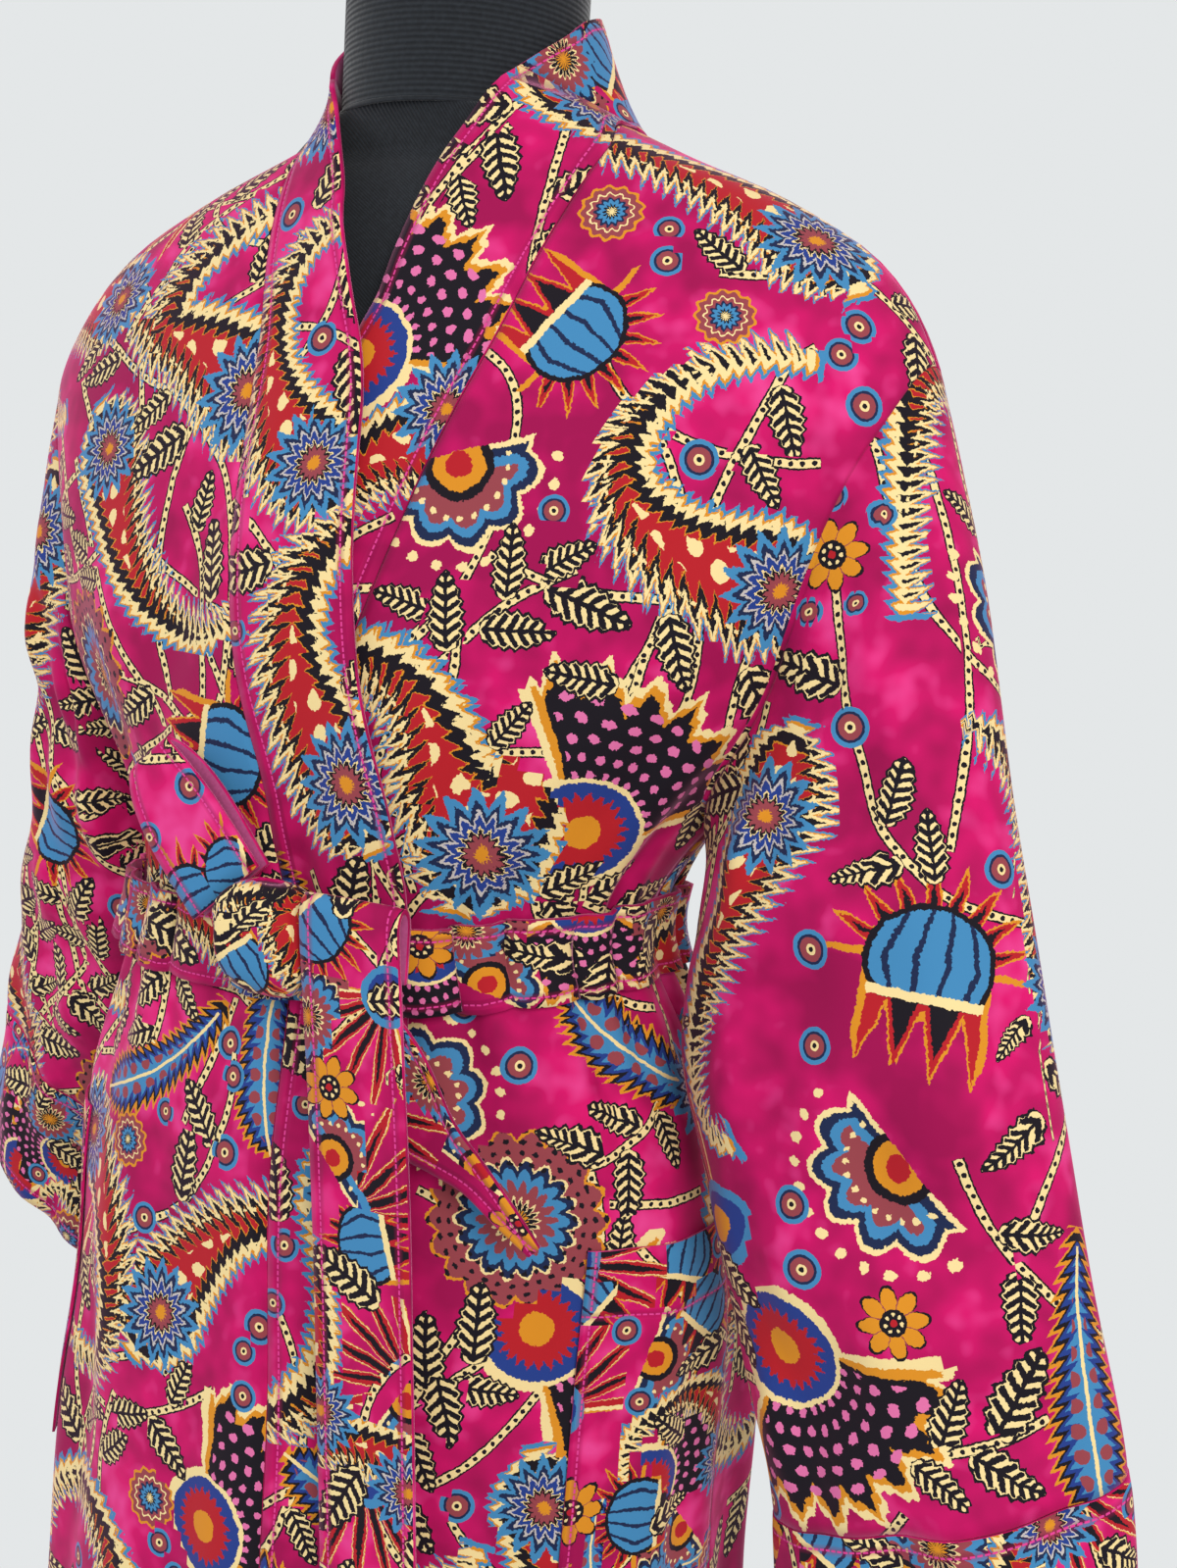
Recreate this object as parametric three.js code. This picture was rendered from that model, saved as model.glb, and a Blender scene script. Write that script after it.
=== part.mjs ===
// Kimono robe in printed velvet, worn by a limbless dress form on a pole and a round base.
// Millimetres, +Z up. The robe faces -Y and the wearer's left side is +X.
// The origin is the middle of the base's underside.
import * as THREE from 'three';
import { mergeVertices } from 'three/addons/utils/BufferGeometryUtils.js';

// Cloth and seams
const CLOTH = 2;
const DOUBLED = 3.6;
const SEAM = 0.3;
const BAND_WIDTH = 65;
const BELT_WIDTH = 42;
const TAIL_WIDTH = 51;
const BELT_CLOTH = 3.4;

// Heights of the robe
const HEM = 290;
const HIP = 1000;
const ARMPIT = 1122;
const ARMHOLE = 212;
const ARMHOLE_REACH = 55;
const NECK_POINT = 1440;

// Steps along and across the walls
const SKIRT_STEPS = 9;
const WAIST_STEPS = 5;
const ARMHOLE_STEPS = 10;
const SHOULDER_STEPS = 7;
const FRONT_STEPS = 14;
const BACK_STEPS = 26;
const SLEEVE_STEPS = 12;
const BAND_STEPS = 3;
const NECK_STEPS = 14;
const BELT_STEPS = 44;

// Layers over the body's surface, to the middle of the cloth
const OVER_LIFT = 5.4;
const BELT_LIFT = 4.9;
const BELT_OVER_BANDS = 6;
const POCKET_LIFT = CLOTH + SEAM + 0.4;

// Sleeve and pocket
const ROOT_INSET = 1.2;
const ROOT_LIFT = 2.3;
const POCKET = { top: 932, bottom: 745, inner: 5.6, outer: 0.4 };

// Neck, pole and base of the dress form
const NECK = { radius: 59, middle: -12, low: 1442, high: 1512 };
const CAP = { radius: 61.5, rise: 11, edge: 2 };
const COLLARBONE = { x: 5, half: 68, y: -7, deep: 57, z: 1434 };
const TORSO = { low: 700, snug: 1.9, clear: 2.4, bottom: 0.93 };
const POLE = { radius: 16, low: 52, steps: 20 };
const BASE = { radius: 185, thick: 12, edge: 3, boss: 30, dish: 4, taper: 6, bossTop: POLE.low - SEAM, steps: 40 };

const { degToRad, radToDeg, lerp, clamp, smoothstep } = THREE.MathUtils;
const smooth = (low, high, at) => smoothstep(at, low, high);
const power = (value, by) => Math.sign(value) * Math.abs(value) ** by;

// A table's rows with their columns named
const named = (columns, row) => Object.fromEntries(columns.map((name, i) => [name, row[i]]));
const table = (columns, rows) => rows.map((row) => named(columns, row));

// A smooth value of one column of a table, between its rows
function track(rows, key, column, at) {
  const last = rows.length - 1;
  let i = 0;
  while (i < last - 1 && at > rows[i + 1][key]) i += 1;
  const slope = (k) => {
    const before = rows[Math.max(k - 1, 0)];
    const after = rows[Math.min(k + 1, last)];
    return (after[column] - before[column]) / (after[key] - before[key]);
  };
  const span = rows[i + 1][key] - rows[i][key];
  const t = clamp((at - rows[i][key]) / span, 0, 1);
  const rise = rows[i + 1][column] - rows[i][column];
  const a = slope(i) * span - rise;
  const b = -slope(i + 1) * span + rise;
  return rows[i][column] + rise * t + t * (1 - t) * (a * (1 - t) + b * t);
}

// The robe's body: each row is a ring round it at one height
const BODY = table(['z', 'half', 'front', 'back', 'mid', 'round', 'shift'], [
  [290, 212, 166, 168, -10, 2.1, 0],
  [560, 198, 150, 150, -12, 2.15, 0],
  [700, 189, 138, 142, -13, 2.2, 0],
  [800, 187, 128, 134, -14, 2.2, 0],
  [940, 182, 112, 118, -16, 2.3, 0],
  [1005, 163, 99, 103, -19, 2.3, -3],
  [1052, 142, 94, 92, -22, 2.3, -5],
  [1080, 142, 99, 93, -21, 2.3, -5],
  [1115, 158, 108, 98, -18, 2.3, -2],
  [1200, 220, 120, 112, -8, 2.2, 0],
  [1300, 248, 110, 118, -2, 2.0, 0],
  [1340, 240, 100, 114, 1, 1.95, 0],
  [1380, 210, 86, 106, 3, 1.9, 1],
  [1408, 160, 76, 94, 3, 1.9, 4],
  [1425, 116, 68, 80, 3, 1.95, 6],
  [1440, 80, 58, 62, 2, 2.0, 8],
]);

// Folds that stand out of the body, each with a trough to its sides
const FOLDS = table(['turn', 'width', 'depth', 'low', 'high', 'drift'], [
  [-20, 9, 8, 150, 1000, -4],
  [-48, 8, 4, 150, 900, 4],
  [-140, 9, 6, 150, 930, -5],
  [-163, 9, 9, 150, 1020, 2],
  [14, 9, 9, 150, 980, 5],
  [42, 9, 10, 150, 1010, -3],
  [70, 9, 9, 150, 1015, 3],
  [98, 9, 10, 150, 1015, -3],
  [126, 9, 9, 150, 1010, 3],
  [156, 9, 9, 150, 1000, -4],
  [-30, 7, 6, 1090, 1250, 3],
  [-52, 6, 4, 1090, 1190, -2],
  [-138, 6, 5, 1090, 1220, 4],
  [-158, 7, 6, 1090, 1260, -2],
  [30, 8, 7, 1090, 1240, -3],
  [58, 8, 7, 1090, 1210, 2],
  [90, 8, 8, 1090, 1260, 0],
  [122, 8, 7, 1090, 1210, -2],
  [150, 8, 7, 1090, 1240, 3],
]);
const FOLD_RISE = 90;
const FOLD_FADE = 160;

function foldDepth(z, turn) {
  let sum = 0;
  for (const { turn: at, width, depth, low, high, drift } of FOLDS) {
    const along = smooth(low, low + FOLD_RISE, z) * (1 - smooth(high - FOLD_FADE, high, z));
    const centre = degToRad(at + (drift * (z - low)) / (high - low));
    const off = Math.atan2(Math.sin(turn - centre), Math.cos(turn - centre)) / degToRad(width);
    sum += depth * along * Math.exp(-off * off) * (1 - 0.7 * off * off);
  }
  return sum;
}

// A point of the body's surface; the turn is 0 at the left side, -PI / 2 in front and PI / 2 behind
function bodyPoint(z, turn, rings = BODY, folded = true) {
  const column = (name) => track(rings, 'z', name, z);
  const out = folded ? foldDepth(z, turn) : 0;
  const deep = column(Math.sin(turn) < 0 ? 'front' : 'back') + out;
  const by = 2 / column('round');
  const x = column('shift') + (column('half') + out) * power(Math.cos(turn), by);
  return new THREE.Vector3(x, column('mid') + deep * power(Math.sin(turn), by), z);
}

function bodyNormal(z, turn) {
  const around = bodyPoint(z, turn + 0.02).sub(bodyPoint(z, turn - 0.02));
  const up = bodyPoint(z + 2, turn).sub(bodyPoint(z - 2, turn));
  return around.cross(up).normalize();
}

// A place on the body moved out from its surface, with the direction that it faces
function onBody(z, turn, lift = 0) {
  const n = bodyNormal(z, turn);
  return { p: bodyPoint(z, turn).addScaledVector(n, lift), n };
}

// The turn in front at which a ring passes a sideways place
function turnAtX(z, x) {
  const across = (x - track(BODY, 'z', 'shift', z)) / track(BODY, 'z', 'half', z);
  const share = power(across, track(BODY, 'z', 'round', z) / 2);
  return -Math.acos(clamp(share, -1, 1));
}

// Half the armhole's width from front to back at a height
function armholeReach(z, inset = 0) {
  const high = ARMHOLE / 2 - inset;
  const up = (z - ARMPIT - ARMHOLE / 2) / high;
  return Math.abs(up) < 1 ? (ARMHOLE_REACH - inset) * Math.sqrt(1 - up * up) : 0;
}

// The turn from the side at which a ring passes the armhole's edge, or the side seam
function edgeTurn(z, deep, reach) {
  return Math.asin((reach / track(BODY, 'z', deep, z)) ** (track(BODY, 'z', 'round', z) / 2));
}
const panelEdge = (z, deep) => edgeTurn(z, deep, armholeReach(z) + SEAM * 0.7);

// Heights of the rows that fronts, back, bands and sleeves share, so that they meet point to point
const armholeHeight = (k) => ARMPIT + (ARMHOLE / 2) * (1 - Math.cos((Math.PI * k) / ARMHOLE_STEPS));
const ROWS = [];
for (let i = 0; i < SKIRT_STEPS; i += 1) ROWS.push(lerp(HEM, HIP, i / SKIRT_STEPS));
for (let i = 0; i < WAIST_STEPS; i += 1) ROWS.push(lerp(HIP, ARMPIT, i / WAIST_STEPS));
for (let i = 0; i < ARMHOLE_STEPS; i += 1) ROWS.push(armholeHeight(i));
for (let i = 0; i <= SHOULDER_STEPS; i += 1) {
  const share = Math.sin((Math.PI / 2) * (i / SHOULDER_STEPS));
  ROWS.push(lerp(ARMPIT + ARMHOLE, NECK_POINT, share));
}

// The seam between each front and its band, across the body at each height
const SEAMS = table(['z', 'right', 'left'], [
  [290, 30, -62],
  [754, 13, -52],
  [900, 2, -44],
  [991, -6, -36],
  [1052, -8, -22],
  [1110, -14, 0],
  [1170, -30, 18],
  [1214, -38, 32],
  [1246, -42, 42],
  [1279, -45, 53],
  [1315, -48, 67],
  [1339, -52, 75],
  [1367, -60, 82],
  [1387, -64, 88],
  [1407, -66, 94],
  [1425, -68, 95],
  [1440, -70, 86],
]);
const seamX = (side, z) => track(SEAMS, 'z', side, z);

// How far the right front stands off over the left one, from the left band's free edge on
const leftEdgeX = (z) => seamX('left', z - 16) - BAND_WIDTH;
function overLift(z, turn) {
  const x = bodyPoint(z, turn, BODY, false).x;
  return OVER_LIFT * smooth(-40, -6, x - leftEdgeX(z)) * (1 - smooth(1350, 1400, z));
}

// A geometry with its faces turned outward
function solid(positions, index) {
  const corner = (k) => new THREE.Vector3().fromArray(positions, 3 * index[k]);
  let volume = 0;
  for (let k = 0; k < index.length; k += 3) volume += corner(k).dot(corner(k + 1).cross(corner(k + 2)));
  const geometry = new THREE.BufferGeometry();
  geometry.setAttribute('position', new THREE.Float32BufferAttribute(positions, 3));
  geometry.setIndex(volume > 0 ? index : index.slice().reverse());
  return mergeVertices(geometry, 1e-5);
}

// A closed wall from rows of points with their outward directions, half its thickness to each side
function wall(rows, thick, closed = false) {
  const tall = rows.length;
  const wide = rows[0].length;
  const across = closed ? wide : wide - 1;
  const positions = [];
  for (const side of [0.5, -0.5]) {
    for (const { p, n } of rows.flat()) positions.push(...p.clone().addScaledVector(n, thick * side).toArray());
  }
  const at = (side, i, j) => (side * tall + i) * wide + (j % wide);
  const index = [];
  const quad = (a, b, c, d) => index.push(a, b, c, a, c, d);
  for (let j = 0; j < across; j += 1) {
    for (let i = 0; i < tall - 1; i += 1) {
      quad(at(0, i, j), at(0, i, j + 1), at(0, i + 1, j + 1), at(0, i + 1, j));
      quad(at(1, i, j), at(1, i + 1, j), at(1, i + 1, j + 1), at(1, i, j + 1));
    }
    quad(at(0, 0, j), at(1, 0, j), at(1, 0, j + 1), at(0, 0, j + 1));
    quad(at(0, tall - 1, j), at(0, tall - 1, j + 1), at(1, tall - 1, j + 1), at(1, tall - 1, j));
  }
  for (let i = 0; i < tall - 1 && !closed; i += 1) {
    quad(at(0, i, 0), at(0, i + 1, 0), at(1, i + 1, 0), at(1, i, 0));
    quad(at(0, i, wide - 1), at(1, i, wide - 1), at(1, i + 1, wide - 1), at(0, i + 1, wide - 1));
  }
  return solid(positions, index);
}

// A solid through rings of points, with a flat cap at each end
function loft(rings) {
  const wide = rings[0].length;
  const positions = rings.flat().flatMap((p) => p.toArray());
  const index = [];
  for (let i = 0; i < rings.length - 1; i += 1) {
    for (let j = 0; j < wide; j += 1) {
      const a = i * wide + j;
      const b = i * wide + ((j + 1) % wide);
      index.push(a, b, b + wide, a, b + wide, a + wide);
    }
  }
  for (const end of [0, rings.length - 1]) {
    const hub = positions.length / 3;
    const middle = rings[end].reduce((sum, p) => sum.add(p), new THREE.Vector3()).divideScalar(wide);
    positions.push(...middle.toArray());
    for (let j = 0; j < wide; j += 1) {
      const pair = [end * wide + j, end * wide + ((j + 1) % wide)];
      index.push(hub, ...(end === 0 ? pair.reverse() : pair));
    }
  }
  return solid(positions, index);
}

// The outward direction at each point of a grid, from its neighbours, on the side that faces away from a centre
function facing(rows, away, closed = false) {
  const wide = rows[0].length;
  return rows.map((row, i) => row.map((p, j) => {
    const above = rows[Math.min(i + 1, rows.length - 1)][j];
    const below = rows[Math.max(i - 1, 0)][j];
    const next = row[closed ? (j + 1) % wide : Math.min(j + 1, wide - 1)];
    const last = row[closed ? (j + wide - 1) % wide : Math.max(j - 1, 0)];
    const n = next.clone().sub(last).cross(above.clone().sub(below)).normalize();
    return { p, n: n.dot(away(p, i)) < 0 ? n.negate() : n };
  }));
}

const group = new THREE.Group();

function add(name, geometry, finish) {
  const mesh = new THREE.Mesh(geometry, new THREE.MeshStandardMaterial(finish));
  mesh.name = name;
  group.add(mesh);
}

const VELVET = { color: 0xd0186f, roughness: 0.85, metalness: 0 };
const FORM_CLOTH = { color: 0x1b2026, roughness: 0.9, metalness: 0 };
const STEEL = { color: 0x23262a, roughness: 0.45, metalness: 0.6 };
const SIDES = { left: 1, right: -1 };

// Fronts: the outer edge follows the side seam, the armhole and the shoulder seam
function frontRows(side) {
  return ROWS.map((z) => {
    const outer = -panelEdge(z, 'front');
    const inner = turnAtX(z, seamX(side, z));
    const gap = (SEAM * 0.6) / track(BODY, 'z', 'front', z);
    const turns = side === 'left' ? [outer, inner + gap] : [-Math.PI - outer, inner - gap];
    return Array.from({ length: FRONT_STEPS + 1 }, (_, j) => {
      const turn = lerp(...turns, j / FRONT_STEPS);
      return onBody(z, turn, side === 'right' ? overLift(z, turn) : 0);
    });
  });
}
const fronts = { left: frontRows('left'), right: frontRows('right') };
for (const side of Object.keys(SIDES)) add(`front_${side}`, wall(fronts[side], CLOTH), VELVET);

// Back: from the left side seam round to the right one, and up to the back neck
const backRows = ROWS.map((z) => {
  const edge = panelEdge(z, 'back');
  return Array.from({ length: BACK_STEPS + 1 }, (_, j) => onBody(z, lerp(edge, Math.PI - edge, j / BACK_STEPS)));
});
add('back', wall(backRows, CLOTH), VELVET);

// Patch pockets, laid on the points of their front
function panelPlace(rows, i, j) {
  const row = Math.min(Math.floor(i), rows.length - 2);
  const column = Math.min(Math.floor(j), rows[0].length - 2);
  const mix = (name) => {
    const low = rows[row][column][name].clone().lerp(rows[row][column + 1][name], j - column);
    const high = rows[row + 1][column][name].clone().lerp(rows[row + 1][column + 1][name], j - column);
    return low.lerp(high, i - row);
  };
  return { p: mix('p'), n: mix('n').normalize() };
}

// The place of a height among the rows
function rowAt(z) {
  const above = ROWS.findIndex((height) => height > z);
  return above - 1 + (z - ROWS[above - 1]) / (ROWS[above] - ROWS[above - 1]);
}

function stops(from, to) {
  const between = [];
  for (let k = Math.floor(from) + 1; k < to; k += 1) between.push(k);
  return [from, ...between, to];
}

for (const side of Object.keys(SIDES)) {
  const up = stops(rowAt(POCKET.bottom), rowAt(POCKET.top));
  const rows = up.map((i) => stops(POCKET.outer, POCKET.inner).map((j) => {
    const { p, n } = panelPlace(fronts[side], i, j);
    return { p: p.addScaledVector(n, POCKET_LIFT), n };
  }));
  add(`pocket_${side}`, wall(rows, CLOTH), VELVET);
}

// The bands' free edges where they stand round the neck, for each height of the seam with the front
const FREE_EDGE = table(['z', 'leftX', 'leftY', 'leftZ', 'rightX', 'rightY', 'rightZ'], [
  [1300, 6, -110, 1316, 11, -115, 1308],
  [1340, 11, -98, 1358, 0, -103, 1354],
  [1365, 21, -82, 1396, -12, -94, 1384],
  [1385, 28, -73, 1417, -19, -84, 1404],
  [1405, 35, -67, 1431, -29, -74, 1424],
  [1425, 41, -61, 1445, -39, -64, 1443],
  [1440, 46, -57, 1453, -46, -58, 1453],
]);
const NECK_EDGE = table(['turn', 'height'], [
  [-38, 1458],
  [-26, 1468],
  [-10, 1480],
  [0, 1488],
  [25, 1496],
  [90, 1499],
]);
const NECK_EDGE_RADIUS = 64;
const ROOT_RISE = 1.7;
const JOINT_TURN = -37;
const JOINT_GAP = 0.003;

const neckPlace = (radius, turn, height) => new THREE.Vector3(
  radius * Math.cos(turn),
  NECK.middle + radius * Math.sin(turn),
  height,
);

function neckEdge(degrees) {
  const height = track(NECK_EDGE, 'turn', 'height', degrees > 90 ? 180 - degrees : degrees);
  return neckPlace(NECK_EDGE_RADIUS, degToRad(degrees), height);
}

const spread = (from, to) => Array.from(
  { length: BAND_STEPS + 1 },
  (_, j) => from.clone().lerp(to, j / BAND_STEPS),
);

function bandRow(side, z) {
  const slope = (seamX(side, z + 4) - seamX(side, Math.max(z - 4, HEM))) / 8;
  const inward = -SIDES[side];
  const length = Math.hypot(1, slope);
  const flat = [];
  for (let j = 0; j <= BAND_STEPS; j += 1) {
    const across = (BAND_WIDTH * j) / BAND_STEPS + SEAM;
    const height = Math.min(z + (Math.abs(slope) * across) / length, NECK_POINT);
    const turn = turnAtX(height, seamX(side, z) + (inward * across) / length);
    flat.push(onBody(height, turn, side === 'right' ? overLift(height, turn) : 0).p);
  }
  flat[0].z += ROOT_RISE * smooth(NECK_POINT - 12, NECK_POINT, z);
  const edge = new THREE.Vector3(...['X', 'Y', 'Z'].map((axis) => track(FREE_EDGE, 'z', side + axis, z)));
  const stand = smooth(...(side === 'left' ? [1325, 1372] : [1290, 1345]), z);
  return spread(flat[0], edge).map((p, j) => flat[j].clone().lerp(p, stand));
}

const fromAxis = (p) => new THREE.Vector3(p.x, p.y - NECK.middle, 0.3 * NECK_EDGE_RADIUS);

// The bands in one run up the left front, round behind the neck and down the right front, parted at two joints
function shoulderRow(side) {
  const root = onBody(NECK_POINT, side === 'left' ? -JOINT_GAP : JOINT_GAP - Math.PI).p;
  const edge = neckEdge(JOINT_TURN - radToDeg(JOINT_GAP));
  return spread(root.setZ(root.z + ROOT_RISE), edge.setX(SIDES[side] * edge.x));
}
const neckRows = Array.from({ length: NECK_STEPS + 1 }, (_, i) => {
  const share = i / NECK_STEPS;
  const root = onBody(NECK_POINT, lerp(JOINT_GAP, Math.PI - JOINT_GAP, share)).p;
  return spread(root.setZ(root.z + ROOT_RISE), neckEdge(lerp(JOINT_TURN, 180 - JOINT_TURN, share)));
});
const frontBand = (side) => [...ROWS.map((z) => bandRow(side, z)), shoulderRow(side)];
const bandRun = facing([...frontBand('left'), ...neckRows, ...frontBand('right').reverse()], fromAxis);
for (const last of [ROWS.length, ROWS.length + NECK_STEPS + 1]) {
  for (const [j, place] of bandRun[last].entries()) {
    place.n.add(bandRun[last + 1][j].n).normalize();
    bandRun[last + 1][j].n.copy(place.n);
  }
}
add('band_left_front', wall(bandRun.slice(0, ROWS.length + 1), DOUBLED), VELVET);
add('band_back_neck', wall(bandRun.slice(ROWS.length + 1, -ROWS.length - 1), DOUBLED), VELVET);
add('band_right_front', wall(bandRun.slice(-ROWS.length - 1), DOUBLED), VELVET);

// Sleeves: each row is a flattened section, from its outer fold to its inner one
const SLEEVES = {
  left: table(['share', 'outX', 'outZ', 'inX', 'inZ', 'y', 'deep'], [
    [0, 247, 1332, 188, 1124, -4, 55],
    [0.1, 261, 1292, 184, 1102, -10, 56],
    [0.25, 280, 1235, 167, 1070, -24, 54],
    [0.45, 304, 1150, 168, 1018, -42, 50],
    [0.65, 332, 1058, 193, 950, -56, 46],
    [0.85, 361, 960, 221, 877, -66, 42],
    [1, 385, 886, 240, 823, -74, 38],
    [1.2, 401, 793, 252, 730, -80, 36],
  ]),
  right: table(['share', 'outX', 'outZ', 'inX', 'inZ', 'y', 'deep'], [
    [0, -247, 1332, -188, 1124, -4, 55],
    [0.1, -254, 1292, -184, 1102, -4, 56],
    [0.25, -258, 1240, -176, 1072, -2, 54],
    [0.45, -266, 1165, -176, 1030, 6, 52],
    [0.65, -286, 1082, -187, 968, 18, 48],
    [0.85, -313, 995, -198, 905, 32, 44],
    [1, -336, 932, -206, 858, 42, 42],
    [1.2, -356, 840, -222, 764, 46, 40],
  ]),
};
const SLEEVE_FOLDS = table(['angle', 'width', 'depth', 'low', 'high', 'drift'], [
  [62, 15, 6, -0.1, 0.9, -14],
  [118, 14, 7, -0.1, 0.75, 10],
  [150, 12, 5, 0.2, 1.1, -12],
  [-70, 15, 7, -0.1, 0.95, 12],
  [-120, 14, 6, 0, 1.1, -10],
]);

function sleevePlace(side, share, angle) {
  const column = (name) => track(SLEEVES[side], 'share', name, share);
  const fold = SLEEVE_FOLDS.reduce((sum, { angle: at, width, depth, low, high, drift }) => {
    const along = smooth(low + 0.1, low + 0.35, share) * (1 - smooth(high - 0.3, high, share));
    const off = (THREE.MathUtils.euclideanModulo(angle - at - drift * share + 180, 360) - 180) / width;
    return sum + depth * along * Math.exp(-off * off) * (1 - 0.7 * off * off);
  }, 0);
  const turn = degToRad(angle);
  const out = new THREE.Vector3(column('outX'), column('y'), column('outZ'));
  const inner = new THREE.Vector3(column('inX'), column('y'), column('inZ'));
  const middle = out.clone().add(inner).divideScalar(2);
  const reach = out.sub(middle).multiplyScalar(Math.cos(turn));
  return middle.add(reach).add(new THREE.Vector3(0, -(column('deep') + fold) * Math.sin(turn), 0));
}

// The sleeve's root inside the armhole; the angle is 0 at the top, 90 in front and 180 at the armpit
function sleeveRoot(side, angle) {
  const turn = degToRad(angle);
  const high = ARMHOLE / 2 - ROOT_INSET;
  const z = ARMPIT + ARMHOLE / 2 + high * Math.cos(turn);
  const deep = Math.sin(turn) >= 0 ? 'front' : 'back';
  const reach = (ARMHOLE_REACH - ROOT_INSET) * Math.abs(Math.sin(turn));
  const off = edgeTurn(z, deep, reach) * (deep === 'front' ? -1 : 1);
  return onBody(z, side === 'left' ? off : Math.PI - off, ROOT_LIFT * (1 - Math.cos(turn)) / 2).p;
}

const CUFF_SHARES = [1.0012, 1.07, 1.14, 1.2];
const ANGLES = Array.from({ length: 2 * ARMHOLE_STEPS }, (_, k) => (180 * k) / ARMHOLE_STEPS);

function sleeveRing(side, share) {
  const blend = 1 - smooth(0, 0.3, share);
  return ANGLES.map((angle) => {
    const place = sleevePlace(side, share, angle);
    return place.addScaledVector(sleeveRoot(side, angle).sub(sleevePlace(side, 0, angle)), blend);
  });
}

for (const side of Object.keys(SIDES)) {
  const middles = new Map();
  const outward = (rings) => (p, i) => {
    if (!middles.has(rings[i])) {
      const sum = rings[i].reduce((total, q) => total.add(q), new THREE.Vector3());
      middles.set(rings[i], sum.divideScalar(rings[i].length));
    }
    return p.clone().sub(middles.get(rings[i]));
  };
  const sleeve = Array.from({ length: SLEEVE_STEPS + 1 }, (_, i) => sleeveRing(side, (i / SLEEVE_STEPS) ** 1.25));
  add(`sleeve_${side}`, wall(facing(sleeve, outward(sleeve), true), CLOTH, true), VELVET);
  const cuff = CUFF_SHARES.map((share) => sleeveRing(side, share));
  add(`cuff_${side}`, wall(facing(cuff, outward(cuff), true), DOUBLED, true), VELVET);
}

// Belt: a band of doubled cloth round the waist, higher at the left side
const BELT = { front: 1043, rise: 19, sharp: 2.5 };
const beltHeight = (turn) => BELT.front + BELT.rise * ((1 + Math.cos(turn)) / 2) ** BELT.sharp;
function beltLift(turn) {
  const z = beltHeight(turn);
  const x = bodyPoint(z, turn, BODY, false).x;
  const front = Math.sin(turn) < 0 ? 1 : 0;
  const free = seamX('right', z) + BAND_WIDTH;
  const over = smooth(-70, -30, x - leftEdgeX(z)) * (1 - smooth(free + 5, free + 35, x));
  return BELT_LIFT + BELT_OVER_BANDS * over * front;
}
const beltRows = [-0.5, 0, 0.5].map((share) => Array.from({ length: BELT_STEPS }, (_, j) => {
  const turn = (2 * Math.PI * j) / BELT_STEPS;
  return onBody(beltHeight(turn) + share * BELT_WIDTH, turn, beltLift(turn));
}));
add('belt_waist', wall(beltRows, BELT_CLOTH, true), VELVET);

// Knot: the band wrapped once round the belt in front
const KNOT_STEPS = { up: 8, round: 16, end: 0.97 };
const KNOT = { x: 0.5, y: -145.5, z: 1061, half: 25, deep: 15, high: 26, square: 0.62, lean: -0.08 };
const round = (steps) => Array.from({ length: steps }, (_, j) => (2 * Math.PI * j) / steps);
const knotRings = Array.from({ length: KNOT_STEPS.up + 1 }, (_, i) => {
  const up = lerp(-KNOT_STEPS.end, KNOT_STEPS.end, i / KNOT_STEPS.up);
  const girth = (1 - Math.abs(up) ** 3) ** 0.5;
  return round(KNOT_STEPS.round).map((turn) => new THREE.Vector3(
    KNOT.x + KNOT.half * girth * power(Math.cos(turn), KNOT.square) + KNOT.lean * KNOT.high * up,
    KNOT.y + KNOT.deep * girth * power(Math.sin(turn), KNOT.square),
    KNOT.z + KNOT.high * up,
  ));
});
add('belt_knot', loft(knotRings), VELVET);

// A ribbon along a path; each place has a point, a direction across and a width
function ribbon(places, thick) {
  const rows = places.map(({ p, across, width }) => [-0.5, 0, 0.5].map((share) => (
    p.clone().addScaledVector(across, share * width)
  )));
  const first = facing(rows, () => new THREE.Vector3(0, -1, 0));
  for (let i = 1; i < first.length; i += 1) {
    for (const [j, place] of first[i].entries()) {
      if (place.n.dot(first[i - 1][j].n) < 0) place.n.negate();
    }
  }
  return wall(first, thick);
}

// Bow loop: out from the knot to the upper right of the wearer and back behind
const LOOP = { x: -23.2, y: -144, z: 1078.1, long: 76, lean: 131, deep: 8, width: 46, tip: 28, steps: 12 };
const loopAlong = new THREE.Vector3(Math.cos(degToRad(LOOP.lean)), 0.02, Math.sin(degToRad(LOOP.lean)));
const loopAcross = new THREE.Vector3(-loopAlong.z, 0, loopAlong.x).normalize();
const loopPlaces = Array.from({ length: LOOP.steps + 1 }, (_, i) => {
  const turn = (Math.PI * i) / LOOP.steps;
  const out = LOOP.long * Math.sin(turn) ** 0.7;
  const deep = -LOOP.deep * Math.cos(turn) * (0.5 + 0.5 * Math.sin(turn));
  return {
    p: new THREE.Vector3(LOOP.x, LOOP.y + deep, LOOP.z).addScaledVector(loopAlong, out),
    across: loopAcross,
    width: lerp(LOOP.width, LOOP.tip, (out / LOOP.long) ** 4),
  };
});
add('belt_bow_loop', ribbon(loopPlaces, BELT_CLOTH), VELVET);

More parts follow.
